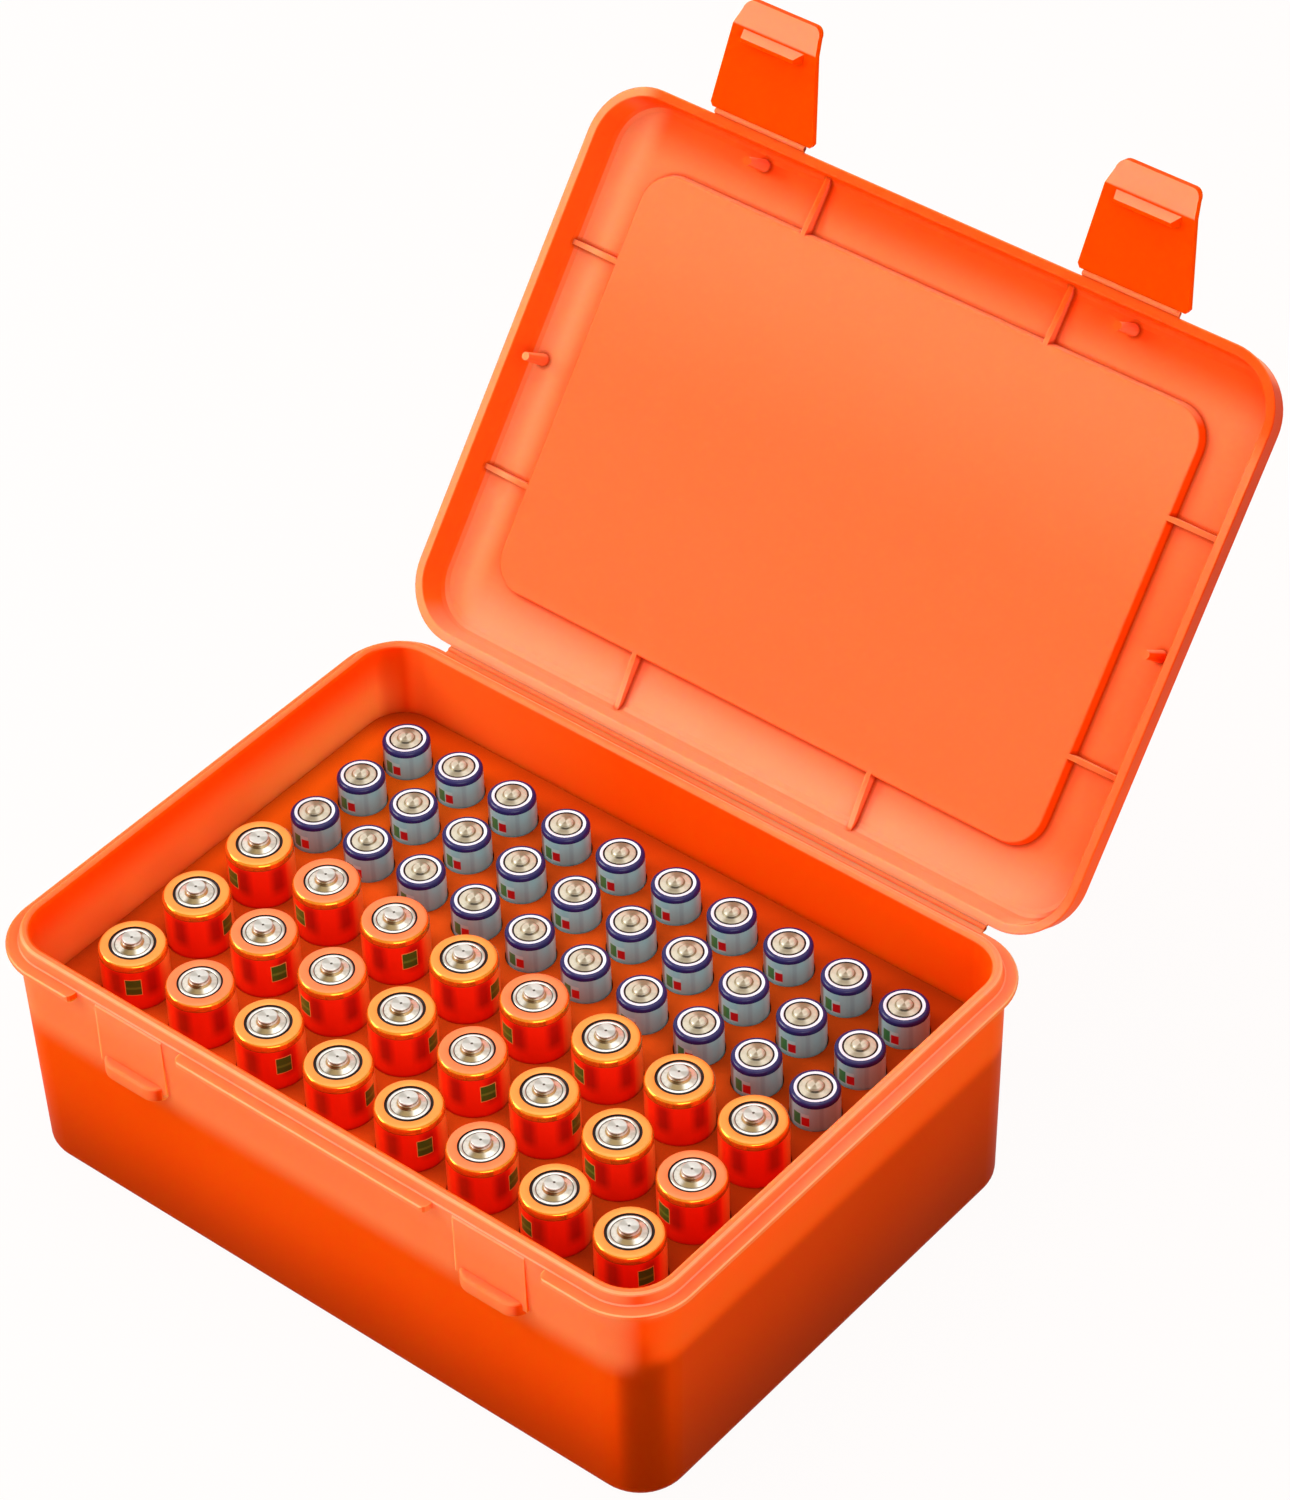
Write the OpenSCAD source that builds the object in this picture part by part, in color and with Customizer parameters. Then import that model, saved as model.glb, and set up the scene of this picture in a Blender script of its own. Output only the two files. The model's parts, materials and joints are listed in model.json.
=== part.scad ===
// Hinged storage case for round cells, with a drilled tray and two snap latches.
// Millimetres. The origin is the middle of the underside, +Z is up and the latches face -Y.

/* [Case] */
// Width over the lip that runs round the rim
case_w = 176.2; // [168:0.1:200]
// Depth over the lip
case_d = 128.2; // [122:0.1:150]
// Height from the table to the top of the bead
case_h = 59.8; // [58:0.1:75]
// Corner radius of the lip in plan
corner_r = 14.5; // [13:0.1:18]
// Wall thickness just under the lip
wall_t = 2.8; // [2.2:0.1:3.2]
// Floor thickness
floor_t = 2.4; // [1.6:0.1:3]
// How far the outside of each wall leans in towards the table
outer_draft = 1.4; // [0.6:0.1:2]
// How far the inside of each wall leans in towards the floor
inner_draft = 0.9; // [0.4:0.1:1.2]
// Radius round the underside
foot_r = 3; // [1:0.1:4]

/* [Rim] */
// Width of the bead that stands up inside the lid
bead_w = 2.2; // [1.6:0.1:2.6]
// Height of the bead above the lip
bead_h = 2.8; // [2:0.1:4]
// Width of the lip outside the bead
lip_w = 3.1; // [2.8:0.1:3.6]
// Thickness of the lip
lip_t = 1.6; // [1.2:0.1:2.4]
// Length of the gap in the lip at each latch
lip_gap_w = 28.6; // [28:0.1:32]

/* [Catches] */
// Distance of each latch from the middle, as a share of the width
latch_share = 0.27; // [0.22:0.005:0.29]
// Width of the flat pad above each catch
pad_w = 18.2; // [16:0.1:22]
// How far the pad stands out of the wall
pad_t = 0.25; // [0.15:0.05:0.6]
// Width of the catch ledge
ledge_w = 17; // [14:0.1:20]
// Height of the catch ledge
ledge_h = 3.8; // [3:0.1:4.5]
// How far the underside of the catch ledge lies below the lip
catch_drop = 17.4; // [17:0.1:18.5]

/* [Lid] */
// How far the lid stands open, from shut
open_angle = 128; // [90:1:175]
// Height of the lid over its flat top
lid_h = 9.1; // [8.5:0.1:14]
// Width of the lid's rim
lid_rim_t = 2.1; // [1.8:0.1:2.4]
// Thickness of the lid's top
lid_t = 1.6; // [1.2:0.1:2]
// How far the lid's skirt leans in towards the top
lid_draft = 0.9; // [0.4:0.1:1.4]
// Radius round the lid's top edge
lid_edge_r = 3.8; // [2.6:0.1:4.2]
// Distance from the lip edge to the edge of the inner panel
panel_margin = 15.6; // [14:0.1:20]
// How far the inner panel stands in from the lid's top
panel_rise = 2.7; // [1.8:0.1:3]
// Corner radius of the inner panel
panel_r = 8; // [5:0.1:12]
// Distance of the front and back ribs from the middle, as a share of the width
rib_share_x = 0.178; // [0.1:0.001:0.3]
// Distance of the side ribs from the middle, as a share of the depth
rib_share_y = 0.204; // [0.1:0.001:0.28]
// Height of the ribs where they meet the skirt
rib_end_h = 1.3; // [0.8:0.1:2]
// Thickness of the ribs
rib_t = 1.1; // [0.8:0.1:2]
// Diameter of the locating pegs at the tip
peg_d = 1.8; // [1.2:0.1:2.2]
// Diameter of the locating pegs at the root
peg_root_d = 2.8; // [2:0.1:3.2]

/* [Latches] */
// How far each latch is folded in from the plane of the lid
fold_angle = 23.5; // [0:0.5:60]
// Width of a latch plate at the hinge end
plate_w = 27.2; // [26.5:0.1:29]
// Width of the latch plate at the bend
plate_end_w = 21.9; // [21:0.1:25]
// Width of the finger tab at its end
tab_w = 20; // [18:0.1:21]
// Distance from the hinge line to the bend
bend_l = 20.2; // [20:0.1:24]
// Length of the finger tab past the bend
tab_l = 6; // [4:0.1:9]
// How far the finger tab leans out
tab_angle = 25; // [10:1:40]
// Thickness of the latch plate
plate_t = 1.4; // [1:0.1:1.8]
// Width of the hook rib
hook_w = 15.8; // [14:0.1:19]
// Height of the hook rib above the plate
hook_h = 2.2; // [1.8:0.1:2.5]

/* [Tray] */
// Height of the tray above the floor of the case
tray_h = 38.8; // [38:0.1:41]
// Gap between the tray and the walls
tray_fit = 0.3; // [0.2:0.05:1]
// Gap between a cell and the wall of its hole
hole_fit = 0.25; // [0.1:0.05:0.4]

/* [AA cells] */
// Diameter of a large cell
aa_d = 14.4; // [13.8:0.1:14.6]
// Height of a large cell up to its shoulder
aa_h = 48.8; // [46:0.1:49.6]
// Columns of large cells
aa_cols = 8; // [4:1:8]
// Margin beside the columns, counted in the gaps between them
aa_side_gaps = 2.05; // [1.5:0.01:3]
// Depth of the holes for the large cells
aa_depth = 36.8; // [25:0.1:37.5]

/* [AAA cells] */
// Diameter of a small cell
aaa_d = 10.4; // [9.8:0.1:10.5]
// Height of a small cell up to its shoulder
aaa_h = 43.7; // [42:0.1:44]
// Columns of small cells
aaa_cols = 10; // [5:1:10]
// Margin beside the columns, counted in the gaps between them
aaa_side_gaps = 2.2; // [1.5:0.01:3]
// Depth of the holes for the small cells
aaa_depth = 36.5; // [25:0.1:37]

/* [Rows] */
// Gap before the front row, counted in the gaps between the large cells' rows
front_gaps = 1.98; // [1.5:0.01:2.5]
// Gap between the two kinds, counted the same way
middle_gaps = 1.19; // [0.8:0.01:1.5]
// Gap between the small cells' rows, counted the same way
aaa_row_gaps = 0.885; // [0.7:0.005:1]
// Gap behind the last row, counted the same way
back_gaps = 1.81; // [1.5:0.01:2.5]

/* [Hidden] */
$fn = 64;
eps = 0.02;
rows = 3;

// Heights of the rim
lip_z = case_h - bead_h;
lip_low = lip_z - lip_t;

// Distances out from the corner centre, which every ring in plan shares
lip_r = corner_r;
bead_out = lip_r - lip_w;
bead_in = bead_out - bead_w;
wall_out = bead_in + wall_t;
wall_foot = wall_out - outer_draft;
inner_fillet = 1.5;
bead_edge = 1;
bead_root = bead_out + 0.3;
groove_r = 0.5;
lip_edge = 0.7;
lip_gap_r = 1.8;

// Lid and its hinge, where the shut lid rests just clear of the lip
rest_gap = 0.1;
hinge_gap = 0.8;
hinge_y = case_d / 2 + hinge_gap;
hinge_z = lip_z + rest_gap;
web_t = 0.5;
web_grip = 1;
hinge_w = case_w - 2 * corner_r - 3.2;
rim_clear = 0.6;
lid_inner = bead_out + rim_clear;
lid_r = lid_inner + lid_rim_t;
lid_w = case_w - 2 * (lip_r - lid_r);
lid_back = hinge_y - hinge_gap;
lid_front = -case_d / 2 + 0.5;
lid_d = lid_back - lid_front;
lid_y = (lid_back + lid_front) / 2;
lid_inner_draft = 0.6;
lid_fillet = lid_edge_r - 1.2;
lid_rim_edge = 0.4;
panel_draft = 0.4;
panel_edge = 0.6;
latch_x = latch_share * case_w;
rib_x = rib_share_x * case_w;
rib_y = rib_share_y * case_d;
panel_in = lid_h - lid_t - panel_rise;
panel_w = case_w - 2 * panel_margin;
panel_d = case_d - 2 * panel_margin;
peg_clear = 0.6;
rib_sink = 0.3;
rib_in = 1;

// Latches, in the frame of the shut lid
fold_gap = 0.75;
latch_y = lid_front - fold_gap;
fold_w = plate_w - 3.4;
fold_l = web_t + 0.06;
plate_chamfer_w = 0.6;
plate_chamfer_l = 0.9;
tab_r = 2.2;
catch_gap = 0.2;
hook_l = 2.6;
hook_ramp = 1.5;
hook_edge = 0.5;
hook_slope = 1;
ledge_z = lip_z - catch_drop;
hook_start = hinge_z - ledge_z + catch_gap;
face_gap = 0.35;
ledge_y = latch_y + face_gap;
ledge_edge = 0.8;
wall_y = case_d / 2 - lip_r + wall_out;
ledge_sink = 0.3;
pad_sink = 0.35;
pad_top = 0.4;
pad_slope = 1;

// Cells, spread over the tray so that the spare width and depth go into the gaps
aa_rise = 1.7;
aaa_rise = 0.8;
tray_z = floor_t + tray_h;
tray_edge = corner_r - inner_at(tray_z) + tray_fit;
tray_w = case_w - 2 * tray_edge;
tray_d = case_d - 2 * tray_edge;
aa_count = aa_cols * rows;
aaa_count = aaa_cols * rows;
aa_pitch_x = aa_d + column_gap(aa_d, aa_cols, aa_side_gaps);
aaa_pitch_x = aaa_d + column_gap(aaa_d, aaa_cols, aaa_side_gaps);
row_gap = (tray_d - rows * (aa_d + aaa_d))
    / (front_gaps + (rows - 1) * (1 + aaa_row_gaps) + middle_gaps + back_gaps);
aa_pitch_y = aa_d + row_gap;
aaa_pitch_y = aaa_d + aaa_row_gaps * row_gap;
aa_row_y = -tray_d / 2 + front_gaps * row_gap + aa_d / 2;
aaa_row_y = aa_row_y + (rows - 1) * aa_pitch_y + (aa_d + aaa_d) / 2 + middle_gaps * row_gap;

orange = [1, 0.36, 0.09];
tray_orange = [0.62, 0.25, 0.08];
aa_red = [0.72, 0.14, 0.1];
aaa_grey = [0.55, 0.57, 0.6];

// Points of an arc from angle a0 to a1 round centre c
function arc(c, r, a0, a1, n = 6) =
    [for (i = [0:n]) c + r * [cos(a0 + (a1 - a0) * i / n), sin(a0 + (a1 - a0) * i / n)]];

// Distance of the inner wall from the corner centre at height z
function inner_at(z) = bead_in - inner_draft * (case_h - z) / (case_h - floor_t);

// Gap between cells in a row of cols, with side gaps of that many gaps at each end
function column_gap(d, cols, side) = (tray_w - cols * d) / (cols - 1 + 2 * side);

// Rounded rectangle in plan with the profile pts at every edge. A profile point is its distance
// out from the corner centre and its height, and the first and last points lie over the centre.
module rounded_solid(w, d, r, pts) {
    cx = w / 2 - r;
    cy = d / 2 - r;
    low = pts[0][1];
    high = pts[len(pts) - 1][1];
    translate([-cx, -cy, low])
        cube([2 * cx, 2 * cy, high - low]);
    for (quarter = [0:3])
        translate([quarter % 3 == 0 ? cx : -cx, quarter < 2 ? cy : -cy, 0])
            rotate([0, 0, 90 * quarter])
                rotate_extrude(angle = 90)
                    polygon(pts);
    for (side = [0:3]) {
        along_y = side % 2 == 0;
        rotate([0, 0, 90 * side])
            translate([along_y ? cx : cy, 0, 0])
                rotate([90, 0, 0])
                    linear_extrude(2 * (along_y ? cy : cx), center = true)
                        polygon(pts);
    }
}

// Outline of the wall of the base, from the middle of the underside to the middle of the floor
base_profile = concat(
    [[0, 0]],
    arc([wall_foot - foot_r, foot_r], foot_r, -90, 0),
    [[wall_out, lip_low]],
    arc([lip_r - lip_edge, lip_low + lip_edge], lip_edge, -90, 0, 3),
    arc([lip_r - lip_edge, lip_z - lip_edge], lip_edge, 0, 90, 3),
    arc([bead_root + groove_r, lip_z + groove_r], groove_r, 270, 180, 4),
    arc([bead_out - bead_edge, case_h - bead_edge], bead_edge, 0, 90, 5),
    arc([bead_in + bead_edge, case_h - bead_edge], bead_edge, 90, 180, 5),
    arc([inner_at(floor_t) - inner_fillet, floor_t + inner_fillet], inner_fillet, 0, -90, 4),
    [[0, floor_t]]
);

// Opening in the lip at a latch, between rounded ends of the lip
module lip_gap() {
    reach = lip_r - wall_out;
    half = lip_gap_w / 2;
    right = concat(
        [[half, 0]],
        arc([half + lip_gap_r, reach - lip_gap_r], lip_gap_r, 180, 90, 5),
        [[half + lip_gap_r, reach + 1]]
    );
    left = [for (i = [len(right) - 1:-1:0]) [-right[i][0], right[i][1]]];
    translate([0, -wall_y, lip_low - 1])
        mirror([0, 1, 0])
            linear_extrude(lip_t + 1 + eps)
                polygon(concat(right, left));
}

// Catch ledge with round ends, and the flat pad above it
module catch() {
    root_y = -wall_y + ledge_sink + outer_draft;
    reach = root_y - ledge_y;
    ledge_section = concat(
        [[0, 0]],
        arc([reach - ledge_edge, ledge_edge], ledge_edge, -90, 0, 4),
        arc([reach - ledge_edge, ledge_h - ledge_edge], ledge_edge, 0, 90, 4),
        [[0, ledge_h]]
    );
    straight = ledge_w - 2 * reach;
    translate([0, root_y, ledge_z]) {
        rotate([90, 0, -90])
            linear_extrude(straight, center = true)
                polygon(ledge_section);
        for (end = [-1, 1])
            translate([end * straight / 2, 0, 0])
                rotate([0, 0, end > 0 ? 270 : 180])
                    rotate_extrude(angle = 90)
                        polygon(ledge_section);
    }
    pad_low = ledge_z + ledge_h / 2;
    translate([0, -wall_y, 0])
        rotate([90, 0, -90])
            linear_extrude(pad_w, center = true)
                polygon([
                    [-wall_t / 2, pad_low], [pad_t, pad_low],
                    [pad_t, lip_z + pad_top - pad_slope], [-pad_sink, lip_z + pad_top],
                    [-wall_t / 2, lip_z + pad_top]
                ]);
}

// Thin round bead of a living hinge, along its axis
module hinge_bead(w) {
    rotate([0, 90, 0])
        cylinder(r = web_t, h = w, center = true);
}

module base() {
    color(orange)
    union() {
        difference() {
            rounded_solid(case_w, case_d, corner_r, base_profile);
            for (side = [-1, 1])
                translate([side * latch_x, 0, 0])
                    lip_gap();
        }
        for (side = [-1, 1])
            translate([side * latch_x, 0, 0])
                catch();
        translate([-hinge_w / 2, case_d / 2 - web_grip, hinge_z - web_t])
            cube([hinge_w, web_grip + hinge_gap, web_t - eps]);
        translate([0, hinge_y, hinge_z])
            hinge_bead(hinge_w);
    }
}

// Section of the lid from the middle of its inside to the middle of its top, rim down
lid_profile = concat(
    [[0, lid_h - lid_t]],
    arc([lid_inner - lid_inner_draft - lid_fillet, lid_h - lid_t - lid_fillet],
        lid_fillet, 90, 0, 4),
    arc([lid_inner + lid_rim_edge, lid_rim_edge], lid_rim_edge, 180, 270, 3),
    arc([lid_r - lid_rim_edge, lid_rim_edge], lid_rim_edge, -90, 0, 3),
    arc([lid_r - lid_draft - lid_edge_r, lid_h - lid_edge_r], lid_edge_r, 0, 90),
    [[0, lid_h]]
);

// Block with leaning sides, between two heights, for the panel and the recess behind it
module panel_block(inset, low, high, overlap_high) {
    r = panel_r - inset;
    rounded_solid(panel_w - 2 * inset, panel_d - 2 * inset, r, concat(
        [[0, low]],
        arc([r - panel_draft - panel_edge, low + panel_edge], panel_edge, -90, -8, 4),
        [[r, high], [r, overlap_high], [0, overlap_high]]
    ));
}

// One rib, from the panel's edge along +Y, lower at the skirt than at the panel
module rib(reach) {
    root = lid_h - lid_t + rib_sink;
    rotate([90, 0, 90])
        linear_extrude(rib_t, center = true)
            polygon([
                [-rib_in, root], [-rib_in, panel_in], [0, panel_in],
                [reach, lid_h - lid_t - rib_end_h], [reach, root]
            ]);
}

// Ribs from the panel's edge to the skirt
module lid_ribs() {
    reach_y = (lid_d - panel_d) / 2 - lid_rim_t - rib_sink;
    reach_x = (lid_w - panel_w) / 2 - lid_rim_t - rib_sink;
    for (side = [-1, 1], end = [-1, 1]) {
        translate([side * rib_x, end * panel_d / 2, 0])
            rotate([0, 0, end > 0 ? 0 : 180])
                rib(reach_y);
        translate([end * panel_w / 2, side * rib_y, 0])
            rotate([0, 0, -90 * end])
                rib(reach_x);
    }
}

// Pegs that slide down just inside the bead
module lid_pegs() {
    peg_x = case_w / 2 - lip_r + bead_in - peg_clear - peg_d / 2;
    peg_y = -(case_d / 2 - lip_r + bead_in - peg_clear - peg_d / 2) - lid_y;
    for (place = [[-latch_x, peg_y], [latch_x, peg_y], [-peg_x, 0], [peg_x, 0]])
        translate([place[0], place[1], 0])
            cylinder(d1 = peg_d, d2 = peg_root_d, h = lid_h - lid_t + rib_sink);
}

// The lid as it lies when shut, with its rim plane at the hinge's height
module shut_lid() {
    translate([0, lid_y, hinge_z]) {
        difference() {
            union() {
                rounded_solid(lid_w, lid_d, lid_r, lid_profile);
                panel_block(0, panel_in, lid_h - lid_t, lid_h - lid_t / 2);
            }
            translate([0, 0, lid_h + panel_in])
                mirror([0, 0, 1])
                    panel_block(lid_t, panel_in - 1, panel_in, lid_h - lid_t - eps);
        }
        lid_ribs();
        lid_pegs();
    }
    translate([-hinge_w / 2, lid_back - web_grip, hinge_z + eps])
        cube([hinge_w, web_grip + hinge_gap - web_t - eps, web_t]);
    for (side = [-1, 1])
        translate([side * latch_x, latch_y, hinge_z]) {
            translate([-fold_w / 2, 0, 0])
                cube([fold_w, fold_gap + web_grip, web_t]);
            hinge_bead(fold_w);
        }
}

// Turns the shut lid, and what hangs on it, open about the hinge
module opened() {
    translate([0, hinge_y, hinge_z])
        rotate([-open_angle, 0, 0])
            translate([0, -hinge_y, -hinge_z])
                children();
}

module lid() {
    color(orange)
        opened()
            shut_lid();
}

// Side view of a latch plate: length from the hinge line, and height towards its inside
latch_section = let(
    out = [cos(tab_angle), -sin(tab_angle)],
    up = [sin(tab_angle), cos(tab_angle)],
    bend_low = [bend_l, -plate_t],
    bend_pts = arc(bend_low, plate_t - eps, 90, 90 - tab_angle, 4)
) concat(
    [[fold_l, -plate_t], [fold_l, -eps]],
    bend_pts,
    [bend_low + tab_l * out + (plate_t - eps) * up, bend_low + tab_l * out, bend_low]
);

// Front view of a latch plate, with cut corners at the hinge and round ones at the tab
latch_outline = let(
    end_l = bend_l + tab_l * cos(tab_angle),
    half = tab_w / 2 - tab_r
) concat(
    [[-plate_w / 2 + plate_chamfer_w, fold_l], [plate_w / 2 - plate_chamfer_w, fold_l]],
    [[plate_w / 2, fold_l + plate_chamfer_l], [plate_end_w / 2, bend_l]],
    arc([half, end_l - tab_r], tab_r, 0, 90),
    arc([-half, end_l - tab_r], tab_r, 90, 180),
    [[-plate_end_w / 2, bend_l], [-plate_w / 2, fold_l + plate_chamfer_l]]
);

// Hook rib with a square catch face towards the hinge and a ramp on the other side
module latch_hook() {
    intersection() {
        rotate([90, 0, 90])
            linear_extrude(hook_w, center = true)
                polygon([
                    [hook_start, -plate_t / 2], [hook_start, hook_h - hook_edge],
                    [hook_start + hook_edge, hook_h], [hook_start + hook_l - hook_ramp, hook_h],
                    [hook_start + hook_l, -plate_t / 2]
                ]);
        rotate([90, 0, 0])
            linear_extrude(4 * bend_l, center = true)
                polygon([
                    [-hook_w / 2, -plate_t], [hook_w / 2, -plate_t],
                    [hook_w / 2, 0], [hook_w / 2 - hook_slope, hook_h + eps],
                    [-hook_w / 2 + hook_slope, hook_h + eps], [-hook_w / 2, 0]
                ]);
    }
}

// A latch laid flat, +Y from the hinge line to the tab and +Z towards its inside
module flat_latch() {
    intersection() {
        rotate([90, 0, 90])
            linear_extrude(plate_w + 2, center = true)
                polygon(latch_section);
        translate([0, 0, -2 * tab_l])
            linear_extrude(3 * tab_l)
                polygon(latch_outline);
    }
    latch_hook();
}

module latch(side) {
    color(orange)
        opened()
            translate([side * latch_x, latch_y, hinge_z])
                rotate([fold_angle, 0, 0])
                    rotate([180, 0, 0])
                        flat_latch();
}

module tray() {
    low = inner_at(floor_t) - tray_fit;
    high = corner_r - tray_edge;
    chamfer = inner_fillet + 0.2;
    color(tray_orange)
    difference() {
        rounded_solid(case_w, case_d, corner_r,
            [[0, floor_t], [low - chamfer, floor_t], [low, floor_t + chamfer], [high, tray_z], [0, tray_z]]);
        for (i = [0:aa_count - 1])
            translate(concat(aa_place(i), tray_z - aa_depth))
                cylinder(d = aa_d + 2 * hole_fit, h = aa_depth + 1);
        for (i = [0:aaa_count - 1])
            translate(concat(aaa_place(i), tray_z - aaa_depth))
                cylinder(d = aaa_d + 2 * hole_fit, h = aaa_depth + 1);
    }
}

// Place in plan of a cell, counted along each row from the left and then back
function grid_place(i, cols, pitch_x, pitch_y, first_y) =
    [(i % cols - (cols - 1) / 2) * pitch_x, first_y + floor(i / cols) * pitch_y];
function aa_place(i) = grid_place(i, aa_cols, aa_pitch_x, aa_pitch_y, aa_row_y);
function aaa_place(i) = grid_place(i, aaa_cols, aaa_pitch_x, aaa_pitch_y, aaa_row_y);

// A cell: rolled shoulder and foot, a gasket groove, the cap and its nub
module cell(d, h, rise, cap_r, nub_r) {
    shoulder = 0.07 * d;
    foot = 0.05 * d;
    groove = 0.03 * d;
    nub_edge = 0.3 * rise;
    rotate_extrude()
        polygon(concat(
            [[0, 0]],
            arc([d / 2 - foot, foot], foot, -90, 0, 3),
            arc([d / 2 - shoulder, h - shoulder], shoulder, 0, 90, 5),
            [[cap_r + groove, h], [cap_r + groove, h - groove], [cap_r, h - groove]],
            [[cap_r, h], [nub_r + 0.015 * d, h]],
            arc([nub_r - nub_edge, h + rise - nub_edge], nub_edge, 0, 90, 3),
            [[0, h + rise]]
        ));
}

module aa_battery(i) {
    color(aa_red)
        translate(concat(aa_place(i), tray_z - aa_depth))
            cell(aa_d, aa_h, aa_rise, 0.302 * aa_d, 0.19 * aa_d);
}

module aaa_battery(i) {
    color(aaa_grey)
        translate(concat(aaa_place(i), tray_z - aaa_depth))
            cell(aaa_d, aaa_h, aaa_rise, 0.302 * aaa_d, 0.18 * aaa_d);
}

base();
lid();
latch(-1);  // latch_left
latch(1);  // latch_right
tray();
for (i = [0:aa_count - 1])
    aa_battery(i);
for (i = [0:aaa_count - 1])
    aaa_battery(i);
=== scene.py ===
"""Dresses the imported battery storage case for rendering: materials, cells, floor, light and camera."""

import json
import logging
import math
from dataclasses import dataclass, field, replace
from enum import Enum

import bpy
from mathutils import Matrix, Vector

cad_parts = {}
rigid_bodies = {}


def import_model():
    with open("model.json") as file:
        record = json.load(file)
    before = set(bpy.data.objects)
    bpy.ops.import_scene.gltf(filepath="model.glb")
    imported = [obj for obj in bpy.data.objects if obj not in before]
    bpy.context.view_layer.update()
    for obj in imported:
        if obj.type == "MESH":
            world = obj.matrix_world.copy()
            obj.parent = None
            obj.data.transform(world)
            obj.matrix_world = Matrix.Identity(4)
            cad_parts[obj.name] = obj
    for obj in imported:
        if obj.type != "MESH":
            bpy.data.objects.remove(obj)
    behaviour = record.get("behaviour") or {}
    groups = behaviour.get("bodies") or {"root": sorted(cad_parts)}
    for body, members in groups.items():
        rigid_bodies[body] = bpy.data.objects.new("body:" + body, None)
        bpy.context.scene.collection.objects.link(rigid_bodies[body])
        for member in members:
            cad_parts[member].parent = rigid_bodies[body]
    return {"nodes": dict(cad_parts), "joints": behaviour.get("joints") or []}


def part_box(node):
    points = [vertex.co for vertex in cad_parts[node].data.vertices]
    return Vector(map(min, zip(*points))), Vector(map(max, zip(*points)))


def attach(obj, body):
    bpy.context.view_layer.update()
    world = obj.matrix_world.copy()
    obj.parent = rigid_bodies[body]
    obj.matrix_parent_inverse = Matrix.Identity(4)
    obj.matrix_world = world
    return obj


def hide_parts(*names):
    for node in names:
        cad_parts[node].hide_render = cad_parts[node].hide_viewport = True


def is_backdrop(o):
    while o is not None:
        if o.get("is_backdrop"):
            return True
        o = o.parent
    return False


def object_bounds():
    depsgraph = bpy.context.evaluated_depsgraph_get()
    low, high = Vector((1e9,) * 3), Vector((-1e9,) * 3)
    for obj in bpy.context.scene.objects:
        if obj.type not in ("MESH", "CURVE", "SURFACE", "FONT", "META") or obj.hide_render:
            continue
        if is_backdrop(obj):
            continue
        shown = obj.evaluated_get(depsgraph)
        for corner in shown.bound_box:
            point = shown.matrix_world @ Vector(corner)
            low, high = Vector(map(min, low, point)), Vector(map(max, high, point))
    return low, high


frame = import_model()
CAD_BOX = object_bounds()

LOG = logging.getLogger("battery_case")
CASE_BODY = "case"
MM = 0.001
ON_AXIS_MM = 1e-6
MOTTLE_DETAIL = 7.0
MOTTLE_RANGE = (0.35, 0.7)
GRAIN_DETAIL = 3.0
SIDE_BLUR_MM = 2.0
CORNER_RAYS = 3
IMAGE_HEIGHT_PX = 1500
SENSOR_MM = 36.0
WHITE = (1.0, 1.0, 1.0)
BACKDROP = (1.0, 0.975, 0.965)

Colour = tuple[float, float, float]
Point = tuple[float, float]
Direction = tuple[float, float, float]
Outline = tuple[Point, ...]
Socket = bpy.types.NodeSocket
Node = bpy.types.Node
Material = bpy.types.Material
Finishes = dict[str, Material]
Started = tuple[Material, "NodeBuilder", Node]

FLOAT = "NodeSocketFloat"
COLOR = "NodeSocketColor"
VECTOR = "NodeSocketVector"


class CellKind(Enum):
    """The two sizes of cell, by the start of their nodes' names."""

    AA = "aa_battery"
    AAA = "aaa_battery"


class Shoulder(Enum):
    """The two colours of the ring round the cap of a large cell."""

    GOLD = "gold"
    COPPER = "copper"


def rgba(colour: Colour) -> tuple[float, float, float, float]:
    """Returns the colour with full alpha."""
    return (*colour, 1.0)


def arc(centre: Point, radius: float, start: float, end: float, steps: int = 6) -> list[Point]:
    """Lists points on an arc.

    Args:
        centre: Centre of the arc.
        radius: Radius of the arc.
        start: First angle in degrees.
        end: Last angle in degrees.
        steps: Number of steps between the two.

    Returns:
        The points, both ends included.
    """
    angles = [math.radians(start + (end - start) * i / steps) for i in range(steps + 1)]
    return [(centre[0] + radius * math.cos(a), centre[1] + radius * math.sin(a)) for a in angles]


def add_object(name: str, data: bpy.types.ID) -> bpy.types.Object:
    """Adds an object to the scene.

    Args:
        name: Name of the object.
        data: Its mesh, light or camera.

    Returns:
        The new object.
    """
    made = bpy.data.objects.new(name, data)
    bpy.context.scene.collection.objects.link(made)
    return made


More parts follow.
